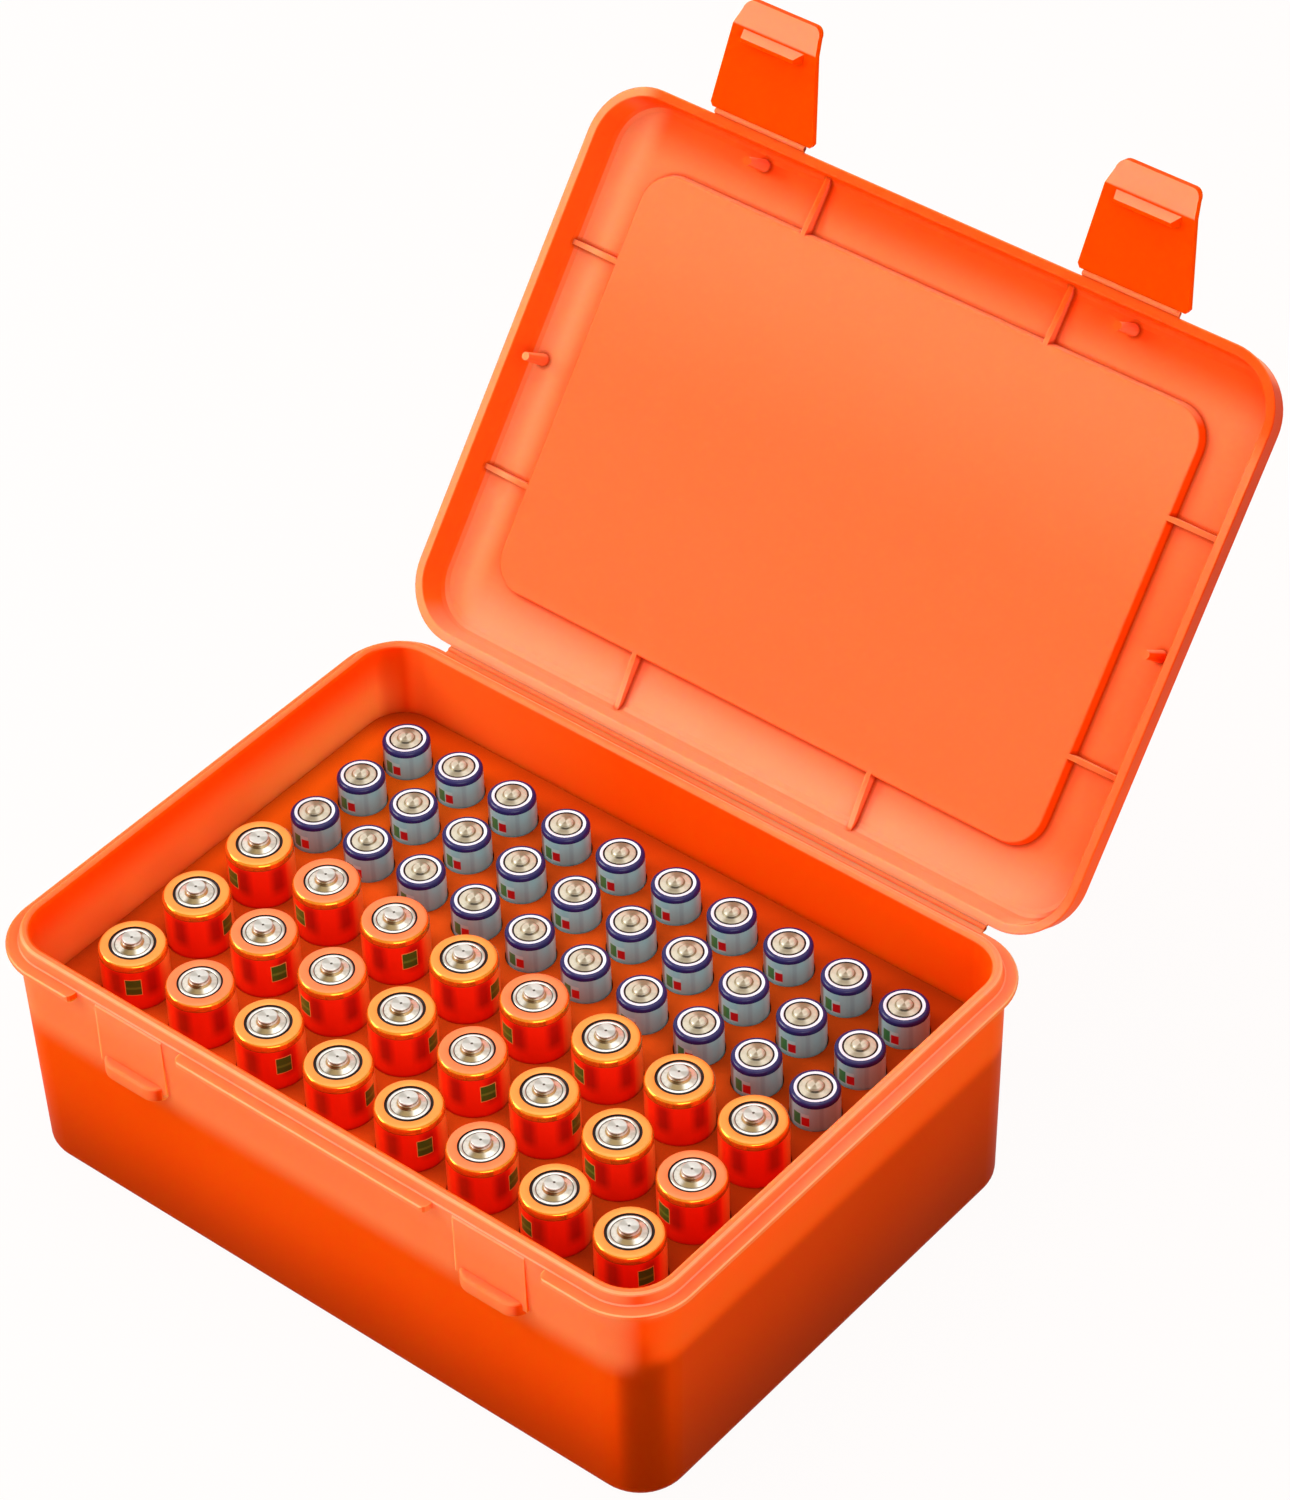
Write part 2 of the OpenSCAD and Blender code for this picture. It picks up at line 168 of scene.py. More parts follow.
class NodeBuilder:
    """Short calls for making shader nodes in one tree."""

    def __init__(self, tree: bpy.types.NodeTree) -> None:
        """Keeps the tree that the calls add to."""
        self.tree = tree

    def add(self, kind: str, **settings: object) -> Node:
        """Adds a node.

        Args:
            kind: Blender's name for the node type.
            **settings: Properties to set on it.

        Returns:
            The new node.
        """
        made = self.tree.nodes.new(kind)
        for name, value in settings.items():
            setattr(made, name, value)
        return made

    def join(self, source: Socket, target: Socket) -> None:
        """Links one socket to another."""
        self.tree.links.new(source, target)

    def feed(self, target: Socket, value: object) -> None:
        """Links or sets a socket, whichever the value calls for.

        Args:
            target: The socket to feed.
            value: Another socket, or the value to set.
        """
        if isinstance(value, Socket):
            self.join(value, target)
        else:
            target.default_value = value

    def maths(self, operation: str, *values: object, clamp: bool = False) -> Socket:
        """Adds a math node.

        Args:
            operation: Name of the operation.
            *values: Numbers or sockets for its inputs.
            clamp: Whether the result stays between 0 and 1.

        Returns:
            The socket that holds the result.
        """
        made = self.add("ShaderNodeMath", operation=operation, use_clamp=clamp)
        for socket, value in zip(made.inputs, values):
            self.feed(socket, value)
        return made.outputs[0]

    def dot(self, first: Socket, second: Socket) -> Socket:
        """Adds the dot product of two vectors.

        Args:
            first: The one vector.
            second: The other vector.

        Returns:
            The socket that holds the product.
        """
        made = self.add("ShaderNodeVectorMath", operation="DOT_PRODUCT")
        self.join(first, made.inputs[0])
        self.join(second, made.inputs[1])
        return made.outputs["Value"]

    def mix(self, factor: object, first: object, second: object) -> Socket:
        """Mixes two colours.

        Args:
            factor: Share of the second colour.
            first: Colour or socket at factor 0.
            second: Colour or socket at factor 1.

        Returns:
            The socket that holds the mixed colour.
        """
        made = self.add("ShaderNodeMix", data_type="RGBA")
        self.feed(made.inputs["Factor"], factor)
        for socket, value in ((made.inputs[6], first), (made.inputs[7], second)):
            self.feed(socket, rgba(value) if isinstance(value, tuple) else value)
        return made.outputs[2]

    def remap(self, value: object, low: object, high: object, to_low: float = 0.0,
              to_high: float = 1.0) -> Socket:
        """Maps a range to another with smooth ends.

        Args:
            value: Number or socket to map.
            low: Start of the first range.
            high: End of the first range.
            to_low: Start of the second range.
            to_high: End of the second range.

        Returns:
            The socket that holds the mapped value.
        """
        made = self.add("ShaderNodeMapRange", interpolation_type="SMOOTHSTEP")
        for name, number in (("Value", value), ("From Min", low), ("From Max", high),
                             ("To Min", to_low), ("To Max", to_high)):
            self.feed(made.inputs[name], number)
        return made.outputs[0]


def new_group(name: str, inputs: dict[str, tuple[str, object]],
              outputs: dict[str, str]) -> tuple[bpy.types.NodeTree, NodeBuilder, Node, Node]:
    """Makes an empty shader node group.

    Args:
        name: Name of the group.
        inputs: Socket type and default value of each input.
        outputs: Socket type of each output.

    Returns:
        The group, a builder for it, its input node and its output node.
    """
    group = bpy.data.node_groups.new(name, "ShaderNodeTree")
    for label, (kind, default) in inputs.items():
        socket = group.interface.new_socket(label, in_out="INPUT", socket_type=kind)
        socket.default_value = default
    for label, kind in outputs.items():
        group.interface.new_socket(label, in_out="OUTPUT", socket_type=kind)
    build = NodeBuilder(group)
    return group, build, build.add("NodeGroupInput"), build.add("NodeGroupOutput")


def make_grain_group() -> bpy.types.NodeTree:
    """Builds the group for fine grain: mottled colour, uneven gloss and a height for a bump.

    Returns:
        The group.
    """
    group, build, inside, outside = new_group(
        "fine_grain",
        {"Color": (COLOR, rgba(WHITE)), "Dark Color": (COLOR, rgba(WHITE)), "Scale": (FLOAT, 900.0),
         "Mottle Scale": (FLOAT, 40.0), "Mottle": (FLOAT, 0.2), "Roughness": (FLOAT, 0.4),
         "Spread": (FLOAT, 0.08)},
        {"Color": COLOR, "Roughness": FLOAT, "Height": FLOAT})
    place = build.add("ShaderNodeTexCoord").outputs["Object"]
    coarse = build.add("ShaderNodeTexNoise")
    build.join(place, coarse.inputs["Vector"])
    build.join(inside.outputs["Mottle Scale"], coarse.inputs["Scale"])
    coarse.inputs["Detail"].default_value = MOTTLE_DETAIL
    fine = build.add("ShaderNodeTexNoise")
    build.join(place, fine.inputs["Vector"])
    build.join(inside.outputs["Scale"], fine.inputs["Scale"])
    fine.inputs["Detail"].default_value = GRAIN_DETAIL
    share = build.maths("MULTIPLY", build.remap(coarse.outputs["Fac"], *MOTTLE_RANGE),
                        inside.outputs["Mottle"], clamp=True)
    build.join(build.mix(share, inside.outputs["Color"], inside.outputs["Dark Color"]),
               outside.inputs["Color"])
    uneven = build.maths("MULTIPLY", build.maths("SUBTRACT", coarse.outputs["Fac"], 0.5),
                         inside.outputs["Spread"])
    build.join(build.maths("ADD", inside.outputs["Roughness"], uneven, clamp=True),
               outside.inputs["Roughness"])
    build.join(fine.outputs["Fac"], outside.inputs["Height"])
    return group


def make_crease_group() -> bpy.types.NodeTree:
    """Builds the group of painted shade that deepens a colour where surfaces meet in a corner.

    Returns:
        The group.
    """
    group, build, inside, outside = new_group(
        "crease_shade",
        {"Color": (COLOR, rgba(WHITE)), "Crease Color": (COLOR, rgba(WHITE)), "Reach": (FLOAT, 0.002),
         "Amount": (FLOAT, 0.6), "Shut At": (FLOAT, 0.35), "Open At": (FLOAT, 0.95)},
        {"Color": COLOR})
    open_sky = build.add("ShaderNodeAmbientOcclusion", samples=CORNER_RAYS)
    build.join(inside.outputs["Reach"], open_sky.inputs["Distance"])
    shut = build.remap(open_sky.outputs["AO"], inside.outputs["Shut At"], inside.outputs["Open At"],
                       to_low=1.0, to_high=0.0)
    share = build.maths("MULTIPLY", shut, inside.outputs["Amount"], clamp=True)
    build.join(build.mix(share, inside.outputs["Color"], inside.outputs["Crease Color"]),
               outside.inputs["Color"])
    return group


def make_painted_light_and_shade_group() -> bpy.types.NodeTree:
    """Builds the group that paints light and shade into a colour by where a surface lies on the piece and
    how it is turned.

    Returns:
        The group.
    """
    group, build, inside, outside = new_group(
        "painted_light_and_shade",
        {"Color": (COLOR, rgba(WHITE)), "Tint Color": (COLOR, rgba(WHITE)), "Amount": (FLOAT, 1.0),
         "Facing": (VECTOR, (0.0, 0.0, 1.0)), "Turned From": (FLOAT, 0.2), "Turned To": (FLOAT, 0.8),
         "Along": (VECTOR, (0.0, 0.0, 1.0)), "Along From": (FLOAT, 0.0), "Along To": (FLOAT, 0.01),
         "Outer": (FLOAT, 1.0), "Inner": (FLOAT, 1.0)},
        {"Color": COLOR})
    place = build.add("ShaderNodeTexCoord")
    turned = build.remap(build.dot(place.outputs["Normal"], inside.outputs["Facing"]),
                         inside.outputs["Turned From"], inside.outputs["Turned To"])
    reached = build.remap(build.dot(place.outputs["Object"], inside.outputs["Along"]),
                          inside.outputs["Along From"], inside.outputs["Along To"])
    flat = build.add("ShaderNodeVectorMath", operation="MULTIPLY")
    build.join(place.outputs["Object"], flat.inputs[0])
    flat.inputs[1].default_value = (1.0, 1.0, 0.0)
    outward = build.remap(build.dot(flat.outputs[0], place.outputs["Normal"]),
                          -SIDE_BLUR_MM * MM, SIDE_BLUR_MM * MM)
    outer = build.maths("MULTIPLY", outward, inside.outputs["Outer"])
    inner = build.maths("MULTIPLY", build.maths("SUBTRACT", 1.0, outward), inside.outputs["Inner"])
    share = build.maths("MULTIPLY", turned, reached)
    share = build.maths("MULTIPLY", share, build.maths("ADD", outer, inner))
    share = build.maths("MULTIPLY", share, inside.outputs["Amount"], clamp=True)
    build.join(build.mix(share, inside.outputs["Color"], inside.outputs["Tint Color"]),
               outside.inputs["Color"])
    return group


def make_turned_group() -> bpy.types.NodeTree:
    """Builds the group for turned metal: fine rings round the axis, and two opposite darker wedges of
    painted reflection.

    Returns:
        The group.
    """
    group, build, inside, outside = new_group(
        "turned_metal",
        {"Color": (COLOR, rgba(WHITE)), "Dark Color": (COLOR, rgba(WHITE)), "Angle": (FLOAT, 0.0),
         "Wedges": (FLOAT, 0.7), "Rings": (FLOAT, 0.2), "Ring Scale": (FLOAT, 30000.0)},
        {"Color": COLOR})
    split = build.add("ShaderNodeSeparateXYZ")
    build.join(build.add("ShaderNodeTexCoord").outputs["Object"], split.inputs[0])
    turn = build.maths("ARCTAN2", split.outputs["Y"], split.outputs["X"])
    lobe = build.maths("COSINE", build.maths(
        "MULTIPLY", build.maths("SUBTRACT", turn, inside.outputs["Angle"]), 2.0))
    wedge = build.maths("MULTIPLY", build.remap(lobe, 0.2, 1.0), inside.outputs["Wedges"])
    squares = [build.maths("POWER", split.outputs[axis], 2.0) for axis in "XY"]
    radius = build.maths("SQRT", build.maths("ADD", *squares))
    ripple = build.maths("SINE", build.maths("MULTIPLY", radius, inside.outputs["Ring Scale"]))
    ring = build.maths("MULTIPLY", build.remap(ripple, -1.0, 1.0), inside.outputs["Rings"])
    share = build.maths("ADD", wedge, ring, clamp=True)
    build.join(build.mix(share, inside.outputs["Color"], inside.outputs["Dark Color"]),
               outside.inputs["Color"])
    return group


def make_patch_group() -> bpy.types.NodeTree:
    """Builds the group that masks a patch of a round wall by its angle and height.

    Returns:
        The group.
    """
    group, build, inside, outside = new_group(
        "round_patch",
        {"Angle": (FLOAT, 0.0), "Half Angle": (FLOAT, 0.3), "Height": (FLOAT, 0.04),
         "Half Height": (FLOAT, 0.004), "Angle Edge": (FLOAT, 0.02), "Height Edge": (FLOAT, 0.0002)},
        {"Mask": FLOAT})
    split = build.add("ShaderNodeSeparateXYZ")
    build.join(build.add("ShaderNodeTexCoord").outputs["Object"], split.inputs[0])
    turn = build.maths("ARCTAN2", split.outputs["Y"], split.outputs["X"])
    away = build.maths("ABSOLUTE", build.maths(
        "WRAP", build.maths("SUBTRACT", turn, inside.outputs["Angle"]), math.pi, -math.pi))
    up = build.maths("ABSOLUTE", build.maths("SUBTRACT", split.outputs["Z"], inside.outputs["Height"]))
    masks = []
    for distance, half, edge in ((away, "Half Angle", "Angle Edge"), (up, "Half Height", "Height Edge")):
        over = build.maths("DIVIDE", build.maths("SUBTRACT", inside.outputs[half], distance),
                           inside.outputs[edge])
        masks.append(build.maths("ADD", over, 0.5, clamp=True))
    build.join(build.maths("MULTIPLY", *masks), outside.inputs["Mask"])
    return group


class Groups:
    """The node groups that the materials share."""

    def __init__(self) -> None:
        """Builds each group once."""
        self.grain = make_grain_group()
        self.crease = make_crease_group()
        self.tint = make_painted_light_and_shade_group()
        self.turned = make_turned_group()
        self.patch = make_patch_group()


def place_group(build: NodeBuilder, group: bpy.types.NodeTree, **values: object) -> Node:
    """Places a group in a material.

    Args:
        build: Builder of the material's tree.
        group: The group to place.
        **values: Input values, with _ for a space in the socket's name.

    Returns:
        The group's node.
    """
    made = build.add("ShaderNodeGroup")
    made.node_tree = group
    for name, value in values.items():
        build.feed(made.inputs[name.replace("_", " ")],
                   rgba(value) if isinstance(value, tuple) else value)
    return made


def start_material(name: str) -> Started:
    """Starts a material.

    Args:
        name: Name of the material.

    Returns:
        The material, a builder for its tree and its Principled shader.
    """
    material = bpy.data.materials.new(name)
    material.use_nodes = True
    return material, NodeBuilder(material.node_tree), material.node_tree.nodes["Principled BSDF"]


class WallSide(Enum):
    """Which side of a box-shaped moulding's walls a tint is on: weights of the outer and the inner side."""

    BOTH = (1.0, 1.0)
    OUTER = (1.0, 0.0)
    INNER = (0.0, 1.0)


@dataclass(frozen=True)
class Tint:
    """A tone of painted light and shade on a moulding, where it is turned one way and lies in one stretch.

    The tint grows as the surface turns to facing, between the two values of turned, and along the
    direction along, between the two places in mm. The places may fall as well as rise.
    """

    colour: Colour
    facing: Direction = (0.0, 0.0, 1.0)
    turned: Point = (-3.0, -2.0)
    along: Direction = (0.0, 0.0, 1.0)
    between_mm: Point = (-3000.0, -2000.0)
    side: WallSide = WallSide.BOTH
    amount: float = 1.0

    def place(self, build: NodeBuilder, groups: Groups, colour: Socket) -> Socket:
        """Adds the tint to a material.

        Args:
            build: Builder of the material's tree.
            groups: The shared node groups.
            colour: The colour without the tint.

        Returns:
            The socket that holds the tinted colour.
        """
        outer, inner = self.side.value
        tint = place_group(build, groups.tint, Color=colour, Tint_Color=self.colour, Amount=self.amount,
                           Turned_From=self.turned[0], Turned_To=self.turned[1],
                           Along_From=self.between_mm[0] * MM, Along_To=self.between_mm[1] * MM,
                           Outer=outer, Inner=inner)
        tint.inputs["Facing"].default_value = self.facing
        tint.inputs["Along"].default_value = self.along
        return tint.outputs["Color"]


@dataclass(frozen=True)
class Finish:
    """What every finish has: a colour mottled with a darker one, and uneven gloss, over fine grain."""

    name: str
    colour: Colour
    dark: Colour
    roughness: float
    mottle: float = 0.2
    mottle_scale: float = 25.0
    grain_scale: float = 2500.0
    spread: float = 0.1

    def start(self, groups: Groups) -> tuple[Material, NodeBuilder, Node, Node]:
        """Starts the material with its grain.

        Args:
            groups: The shared node groups.

        Returns:
            The material, a builder for its tree, its Principled shader and its grain.
        """
        material, build, shader = start_material(self.name)
        grain = place_group(build, groups.grain, Color=self.colour, Dark_Color=self.dark,
                            Scale=self.grain_scale, Mottle_Scale=self.mottle_scale, Mottle=self.mottle,
                            Roughness=self.roughness, Spread=self.spread)
        build.join(grain.outputs["Roughness"], shader.inputs["Roughness"])
        return material, build, shader, grain


@dataclass(frozen=True, kw_only=True)
class MouldedFinish(Finish):
    """A moulded plastic with painted shade in its corners, tones of painted light and shade, a bump and,
    when glow_mm is set, light passing through it by subsurface scattering.
    """

    crease: Colour
    bump_mm: float = 0.004
    crease_reach_mm: float = 2.5
    crease_amount: float = 0.5
    crease_span: Point = (0.35, 0.95)
    specular: float = 0.5
    tints: tuple[Tint, ...] = ()
    glow_mm: float = 0.0
    glow_spread: Direction = (1.0, 0.3, 0.1)

    def make(self, groups: Groups) -> Material:
        """Builds the material.

        Args:
            groups: The shared node groups.

        Returns:
            The material.
        """
        material, build, shader, grain = self.start(groups)
        colour = grain.outputs["Color"]
        for tint in self.tints:
            colour = tint.place(build, groups, colour)
        crease = place_group(build, groups.crease, Color=colour, Crease_Color=self.crease,
                             Reach=self.crease_reach_mm * MM, Amount=self.crease_amount,
                             Shut_At=self.crease_span[0], Open_At=self.crease_span[1])
        build.join(crease.outputs["Color"], shader.inputs["Base Color"])
        bump = build.add("ShaderNodeBump")
        bump.inputs["Distance"].default_value = self.bump_mm * MM
        build.join(grain.outputs["Height"], bump.inputs["Height"])
        build.join(bump.outputs["Normal"], shader.inputs["Normal"])
        shader.inputs["Specular IOR Level"].default_value = self.specular
        if self.glow_mm:
            shader.inputs["Subsurface Weight"].default_value = 1.0
            shader.inputs["Subsurface Radius"].default_value = self.glow_spread
            shader.inputs["Subsurface Scale"].default_value = self.glow_mm * MM
        return material


@dataclass(frozen=True, kw_only=True)
class MetalFinish(Finish):
    """A turned or pressed metal with fine wear and painted shade in its crevices. Wedges of painted
    reflection are at an angle in degrees about its axis.
    """

    mottle: float = 0.4
    mottle_scale: float = 600.0
    grain_scale: float = 6000.0
    spread: float = 0.12
    metallic: float = 1.0
    wedge: Colour | None = None
    wedge_angle: float = -40.0
    wedge_amount: float = 0.8
    rings: float = 0.2
    crease_reach_mm: float = 0.8
    crease_amount: float = 0.8

    def make(self, groups: Groups) -> Material:
        """Builds the material.

        Args:
            groups: The shared node groups.

        Returns:
            The material.
        """
        material, build, shader, grain = self.start(groups)
        colour = grain.outputs["Color"]
        if self.wedge:
            colour = place_group(build, groups.turned, Color=colour, Dark_Color=self.wedge,
                                 Angle=math.radians(self.wedge_angle), Wedges=self.wedge_amount,
                                 Rings=self.rings).outputs["Color"]
        crease = place_group(build, groups.crease, Color=colour, Crease_Color=self.dark,
                             Reach=self.crease_reach_mm * MM, Amount=self.crease_amount)
        build.join(crease.outputs["Color"], shader.inputs["Base Color"])
        shader.inputs["Metallic"].default_value = self.metallic
        return material


@dataclass(frozen=True)
class Patch:
    """A field of colour on a cell's sleeve: angle and half angle in degrees, heights in mm."""

    colour: Colour
    angle: float
    half_angle: float
    height: float
    half_height: float
    angle_edge: float = 1.5
    height_edge: float = 0.15
    strength: float = 1.0


@dataclass(frozen=True, kw_only=True)
class SleeveFinish(Finish):
    """The printed film round a cell: one colour, soft upright bands of painted reflection and, on some, a
    few small printed patches.
    """

    mottle: float = 0.15
    mottle_scale: float = 120.0
    grain_scale: float = 3000.0
    spread: float = 0.06
    metallic: float = 0.0
    coat: float = 0.3
    coat_roughness: float = 0.08
    patches: tuple[Patch, ...]

    def make(self, groups: Groups) -> Material:
        """Builds the material.

        Args:
            groups: The shared node groups.

        Returns:
            The material.
        """
        material, build, shader, grain = self.start(groups)
        colour = grain.outputs["Color"]
        for patch in self.patches:
            mask = place_group(build, groups.patch, Angle=math.radians(patch.angle),
                               Half_Angle=math.radians(patch.half_angle), Height=patch.height * MM,
                               Half_Height=patch.half_height * MM,
                               Angle_Edge=math.radians(patch.angle_edge),
                               Height_Edge=patch.height_edge * MM).outputs["Mask"]
            if patch.strength < 1.0:
                mask = build.maths("MULTIPLY", mask, patch.strength)
            colour = build.mix(mask, colour, patch.colour)
        build.join(colour, shader.inputs["Base Color"])
        shader.inputs["Metallic"].default_value = self.metallic
        shader.inputs["Coat Weight"].default_value = self.coat
        shader.inputs["Coat Roughness"].default_value = self.coat_roughness
        return material


# Directions in the case's own frame; the lid's two are those of the open lid
RIGHT = (1.0, 0.0, 0.0)
LEFT = (-1.0, 0.0, 0.0)
FRONT = (0.0, -1.0, 0.0)
BACK = (0.0, 1.0, 0.0)
FRONT_RIGHT = (0.707, -0.707, 0.0)
INTO_LID = (0.0, -0.788, 0.616)
LID_EDGE = (0.0, 0.616, 0.788)
TO_LIGHT = (-0.1, -0.5, 0.86)

# The orange plastic lets some light through by subsurface scattering; its tones that differ from wall to
# wall and with height are painted light and shade
PLAIN_ORANGE = (0.97, 0.068, 0.001)
ORANGE = MouldedFinish(
    "orange_case", colour=PLAIN_ORANGE, dark=(0.84, 0.050, 0.0), mottle=0.35, crease=(0.72, 0.045, 0.0),
    roughness=0.4, specular=0.008, crease_reach_mm=2.0, crease_amount=0.32, glow_mm=6.0,
    tints=(
        # Painted shade on the outer walls: deeper towards the foot and at the front right corner
        Tint((0.37, 0.024, 0.0), between_mm=(39, -4), side=WallSide.OUTER),
        Tint((0.22, 0.015, 0.0), facing=RIGHT, turned=(0.25, 0.8), between_mm=(42, 37),
             side=WallSide.OUTER, amount=0.5),
        Tint((0.26, 0.017, 0.0), facing=FRONT_RIGHT, turned=(0.85, 1.0), between_mm=(53, 33),
             side=WallSide.OUTER, amount=0.75),
        # Painted light on the outer walls above the tray: paler towards the bead
        Tint((0.97, 0.090, 0.006), facing=RIGHT, turned=(0.72, 0.98), between_mm=(38, 43),
             side=WallSide.OUTER),
        Tint((0.97, 0.165, 0.045), facing=RIGHT, turned=(0.6, 0.95), between_mm=(51, 56),
             side=WallSide.OUTER),
        Tint((0.97, 0.165, 0.047), facing=FRONT, turned=(0.66, 0.97), between_mm=(35, 43),
             side=WallSide.OUTER),
        Tint((0.97, 0.19, 0.065), facing=FRONT, turned=(0.66, 0.97), between_mm=(48, 56),
             side=WallSide.OUTER),
        # Painted light on the inner side of the left wall, and a painted highlight on the slopes of the
        # catch ledges
        Tint((0.97, 0.29, 0.055), facing=RIGHT, turned=(0.5, 0.9), between_mm=(58, 42),
             side=WallSide.INNER),
        Tint((0.97, 0.30, 0.14), facing=(0.0, -0.72, 0.69), turned=(0.93, 0.99), between_mm=(37, 41)),
        # Painted shade in the back left corner inside, then painted light on the inner side of the back
        # wall
        Tint((0.60, 0.040, 0.0), facing=FRONT_RIGHT, turned=(0.85, 1.0), side=WallSide.INNER,
             amount=0.6),
        Tint((0.97, 0.105, 0.010), facing=FRONT, turned=(0.8, 0.97), along=LEFT,
             between_mm=(10, 70), side=WallSide.INNER),
        # Lip and bead: pale where they face the light
        Tint((0.97, 0.19, 0.065), facing=TO_LIGHT, turned=(0.55, 0.85)),
        Tint((0.97, 0.33, 0.16), turned=(0.35, 0.6), between_mm=(56.0, 56.4), side=WallSide.OUTER),
        Tint((0.97, 0.160, 0.050), turned=(0.86, 0.97), between_mm=(56.0, 56.4)),
        Tint((0.97, 0.215, 0.090), turned=(0.86, 0.97), along=(0.7, 0.7, 0.0), between_mm=(35, 60)),
        Tint((0.97, 0.14, 0.04), along=LEFT, between_mm=(77, 84), facing=(-0.3, 0.0, 0.95),
             turned=(0.5, 0.8)),
    ))
LID_ORANGE = MouldedFinish(
    "orange_lid", colour=PLAIN_ORANGE, dark=(0.96, 0.064, 0.0), crease=(0.45, 0.028, 0.0),
    roughness=0.4, specular=0.015, crease_reach_mm=1.1, crease_amount=0.9, crease_span=(0.6, 0.96),
    glow_mm=3.0,
    tints=(
        # Painted light and shade on faces that look into the lid: by height, then along the left border
        Tint((0.97, 0.145, 0.037), facing=INTO_LID, turned=(0.5, 0.9)),
        Tint((0.97, 0.19, 0.062), facing=INTO_LID, turned=(0.5, 0.9), between_mm=(105, 143)),
        Tint((0.97, 0.088, 0.007), facing=INTO_LID, turned=(0.5, 0.9), between_mm=(141, 149)),
        Tint((0.97, 0.30, 0.15), facing=INTO_LID, turned=(0.3, 0.8), between_mm=(70, 55)),
        Tint((0.97, 0.27, 0.105), facing=INTO_LID, turned=(0.5, 0.9), along=LEFT,
             between_mm=(73, 79)),
        # Painted light and shade on faces turned right, then left: edges of the ribs, the panel and the
        # skirt
        Tint((0.97, 0.19, 0.075), facing=RIGHT, turned=(0.3, 0.8), along=LEFT,
             between_mm=(-70, -66), amount=0.75),
        Tint((0.97, 0.10, 0.004), facing=RIGHT, turned=(0.3, 0.8), along=RIGHT,
             between_mm=(74.5, 76.0), amount=0.5),
        Tint((0.60, 0.036, 0.0), facing=RIGHT, turned=(0.4, 0.8), along=(1.0, 0.0, 0.2),
             between_mm=(98, 112), amount=0.9),
        Tint((0.55, 0.032, 0.0), facing=LEFT, turned=(0.15, 0.5), amount=0.8),
        # Painted light and shade on the inside of the left skirt, then on the lid's free edge
        Tint((0.97, 0.14, 0.010), facing=RIGHT, turned=(0.4, 0.8), along=LEFT,
             between_mm=(79, 83)),
        Tint((0.66, 0.040, 0.0), facing=(0.9, 0.0, 0.0), turned=(0.5, 0.85), along=(-0.96, 0.22, -0.17),
             between_mm=(78, 84), amount=0.3),
        Tint((0.97, 0.24, 0.105), facing=LID_EDGE, turned=(0.6, 0.95)),
        Tint((0.90, 0.085, 0.012), facing=LID_EDGE, turned=(0.6, 0.95), along=LEFT,
             between_mm=(80, 84)),
    ))
# Latches: painted light where they face the light, and painted shade in their corners
LATCH_ORANGE = MouldedFinish(
    "orange_latch", colour=(0.93, 0.060, 0.0), dark=(0.90, 0.054, 0.0), crease=(0.60, 0.034, 0.0),
    roughness=0.4, specular=0.02, crease_amount=0.75, crease_reach_mm=3.0, glow_mm=2.0,
    tints=(Tint((0.97, 0.24, 0.11), facing=TO_LIGHT, turned=(0.72, 0.92)),))
# The hinge skins are paler than the plain orange: painted light
HINGE_ORANGE = MouldedFinish(
    "orange_hinge", colour=(0.97, 0.17, 0.06), dark=(0.95, 0.14, 0.04), crease=(0.80, 0.06, 0.005),
    roughness=0.4, specular=0.02, crease_amount=0.3, glow_mm=1.0)
TRAY = MouldedFinish(
    "tray_block", colour=(0.93, 0.105, 0.008), dark=(0.46, 0.050, 0.004), crease=(0.18, 0.020, 0.001),
    roughness=0.65, specular=0.02, mottle=0.7, mottle_scale=55.0, bump_mm=0.02, grain_scale=1800.0,
    crease_reach_mm=6.0, crease_amount=0.8,
    tints=(
        # Painted light and shade: pale at the back left, deeper along the back and to the right
        Tint((0.97, 0.14, 0.004), along=(-0.87, 0.5, 0.0), between_mm=(50, 78), amount=0.9),
        Tint((0.60, 0.045, 0.001), along=BACK, between_mm=(44, 56), amount=0.75),
        Tint((0.32, 0.027, 0.001), along=RIGHT, between_mm=(12, 82), amount=0.8),
    ))

# Metals, seals and films of the cells. The wedges on the metals are painted reflection; the groove,
# nub-foot and dome-foot stretches are painted shade, the nub foot with painted reflection too
STEEL = MetalFinish("cap_steel", colour=(0.86, 0.84, 0.78), dark=(0.40, 0.36, 0.28), roughness=0.22,
                    metallic=0.5, mottle=0.2, wedge=(0.34, 0.30, 0.22), wedge_angle=-120.0,
                    wedge_amount=0.6)
CONE = MetalFinish("cap_cone", colour=(0.80, 0.77, 0.68), dark=(0.20, 0.15, 0.08), roughness=0.22,
                   metallic=0.5, mottle=0.3, mottle_scale=900.0, wedge=(0.17, 0.11, 0.03),
                   wedge_angle=-62.0, wedge_amount=0.95, rings=0.35)
STEEL_TOP = MetalFinish("cap_steel_top", colour=(0.64, 0.63, 0.58), dark=(0.34, 0.33, 0.29), roughness=0.3,
                        metallic=0.4, mottle=0.3, wedge=(0.34, 0.32, 0.27), wedge_angle=10.0,
                        wedge_amount=0.6, rings=0.3)
# Nub foot: painted reflection and painted shade
NUB_FOOT_REFLECTION_AND_SHADE = MetalFinish("cap_foot_brass", colour=(0.62, 0.46, 0.20), dark=(0.04, 0.025, 0.008), roughness=0.25,
                    metallic=0.5, mottle=0.3, wedge=(0.09, 0.05, 0.01), wedge_angle=-62.0,
                    wedge_amount=1.0)
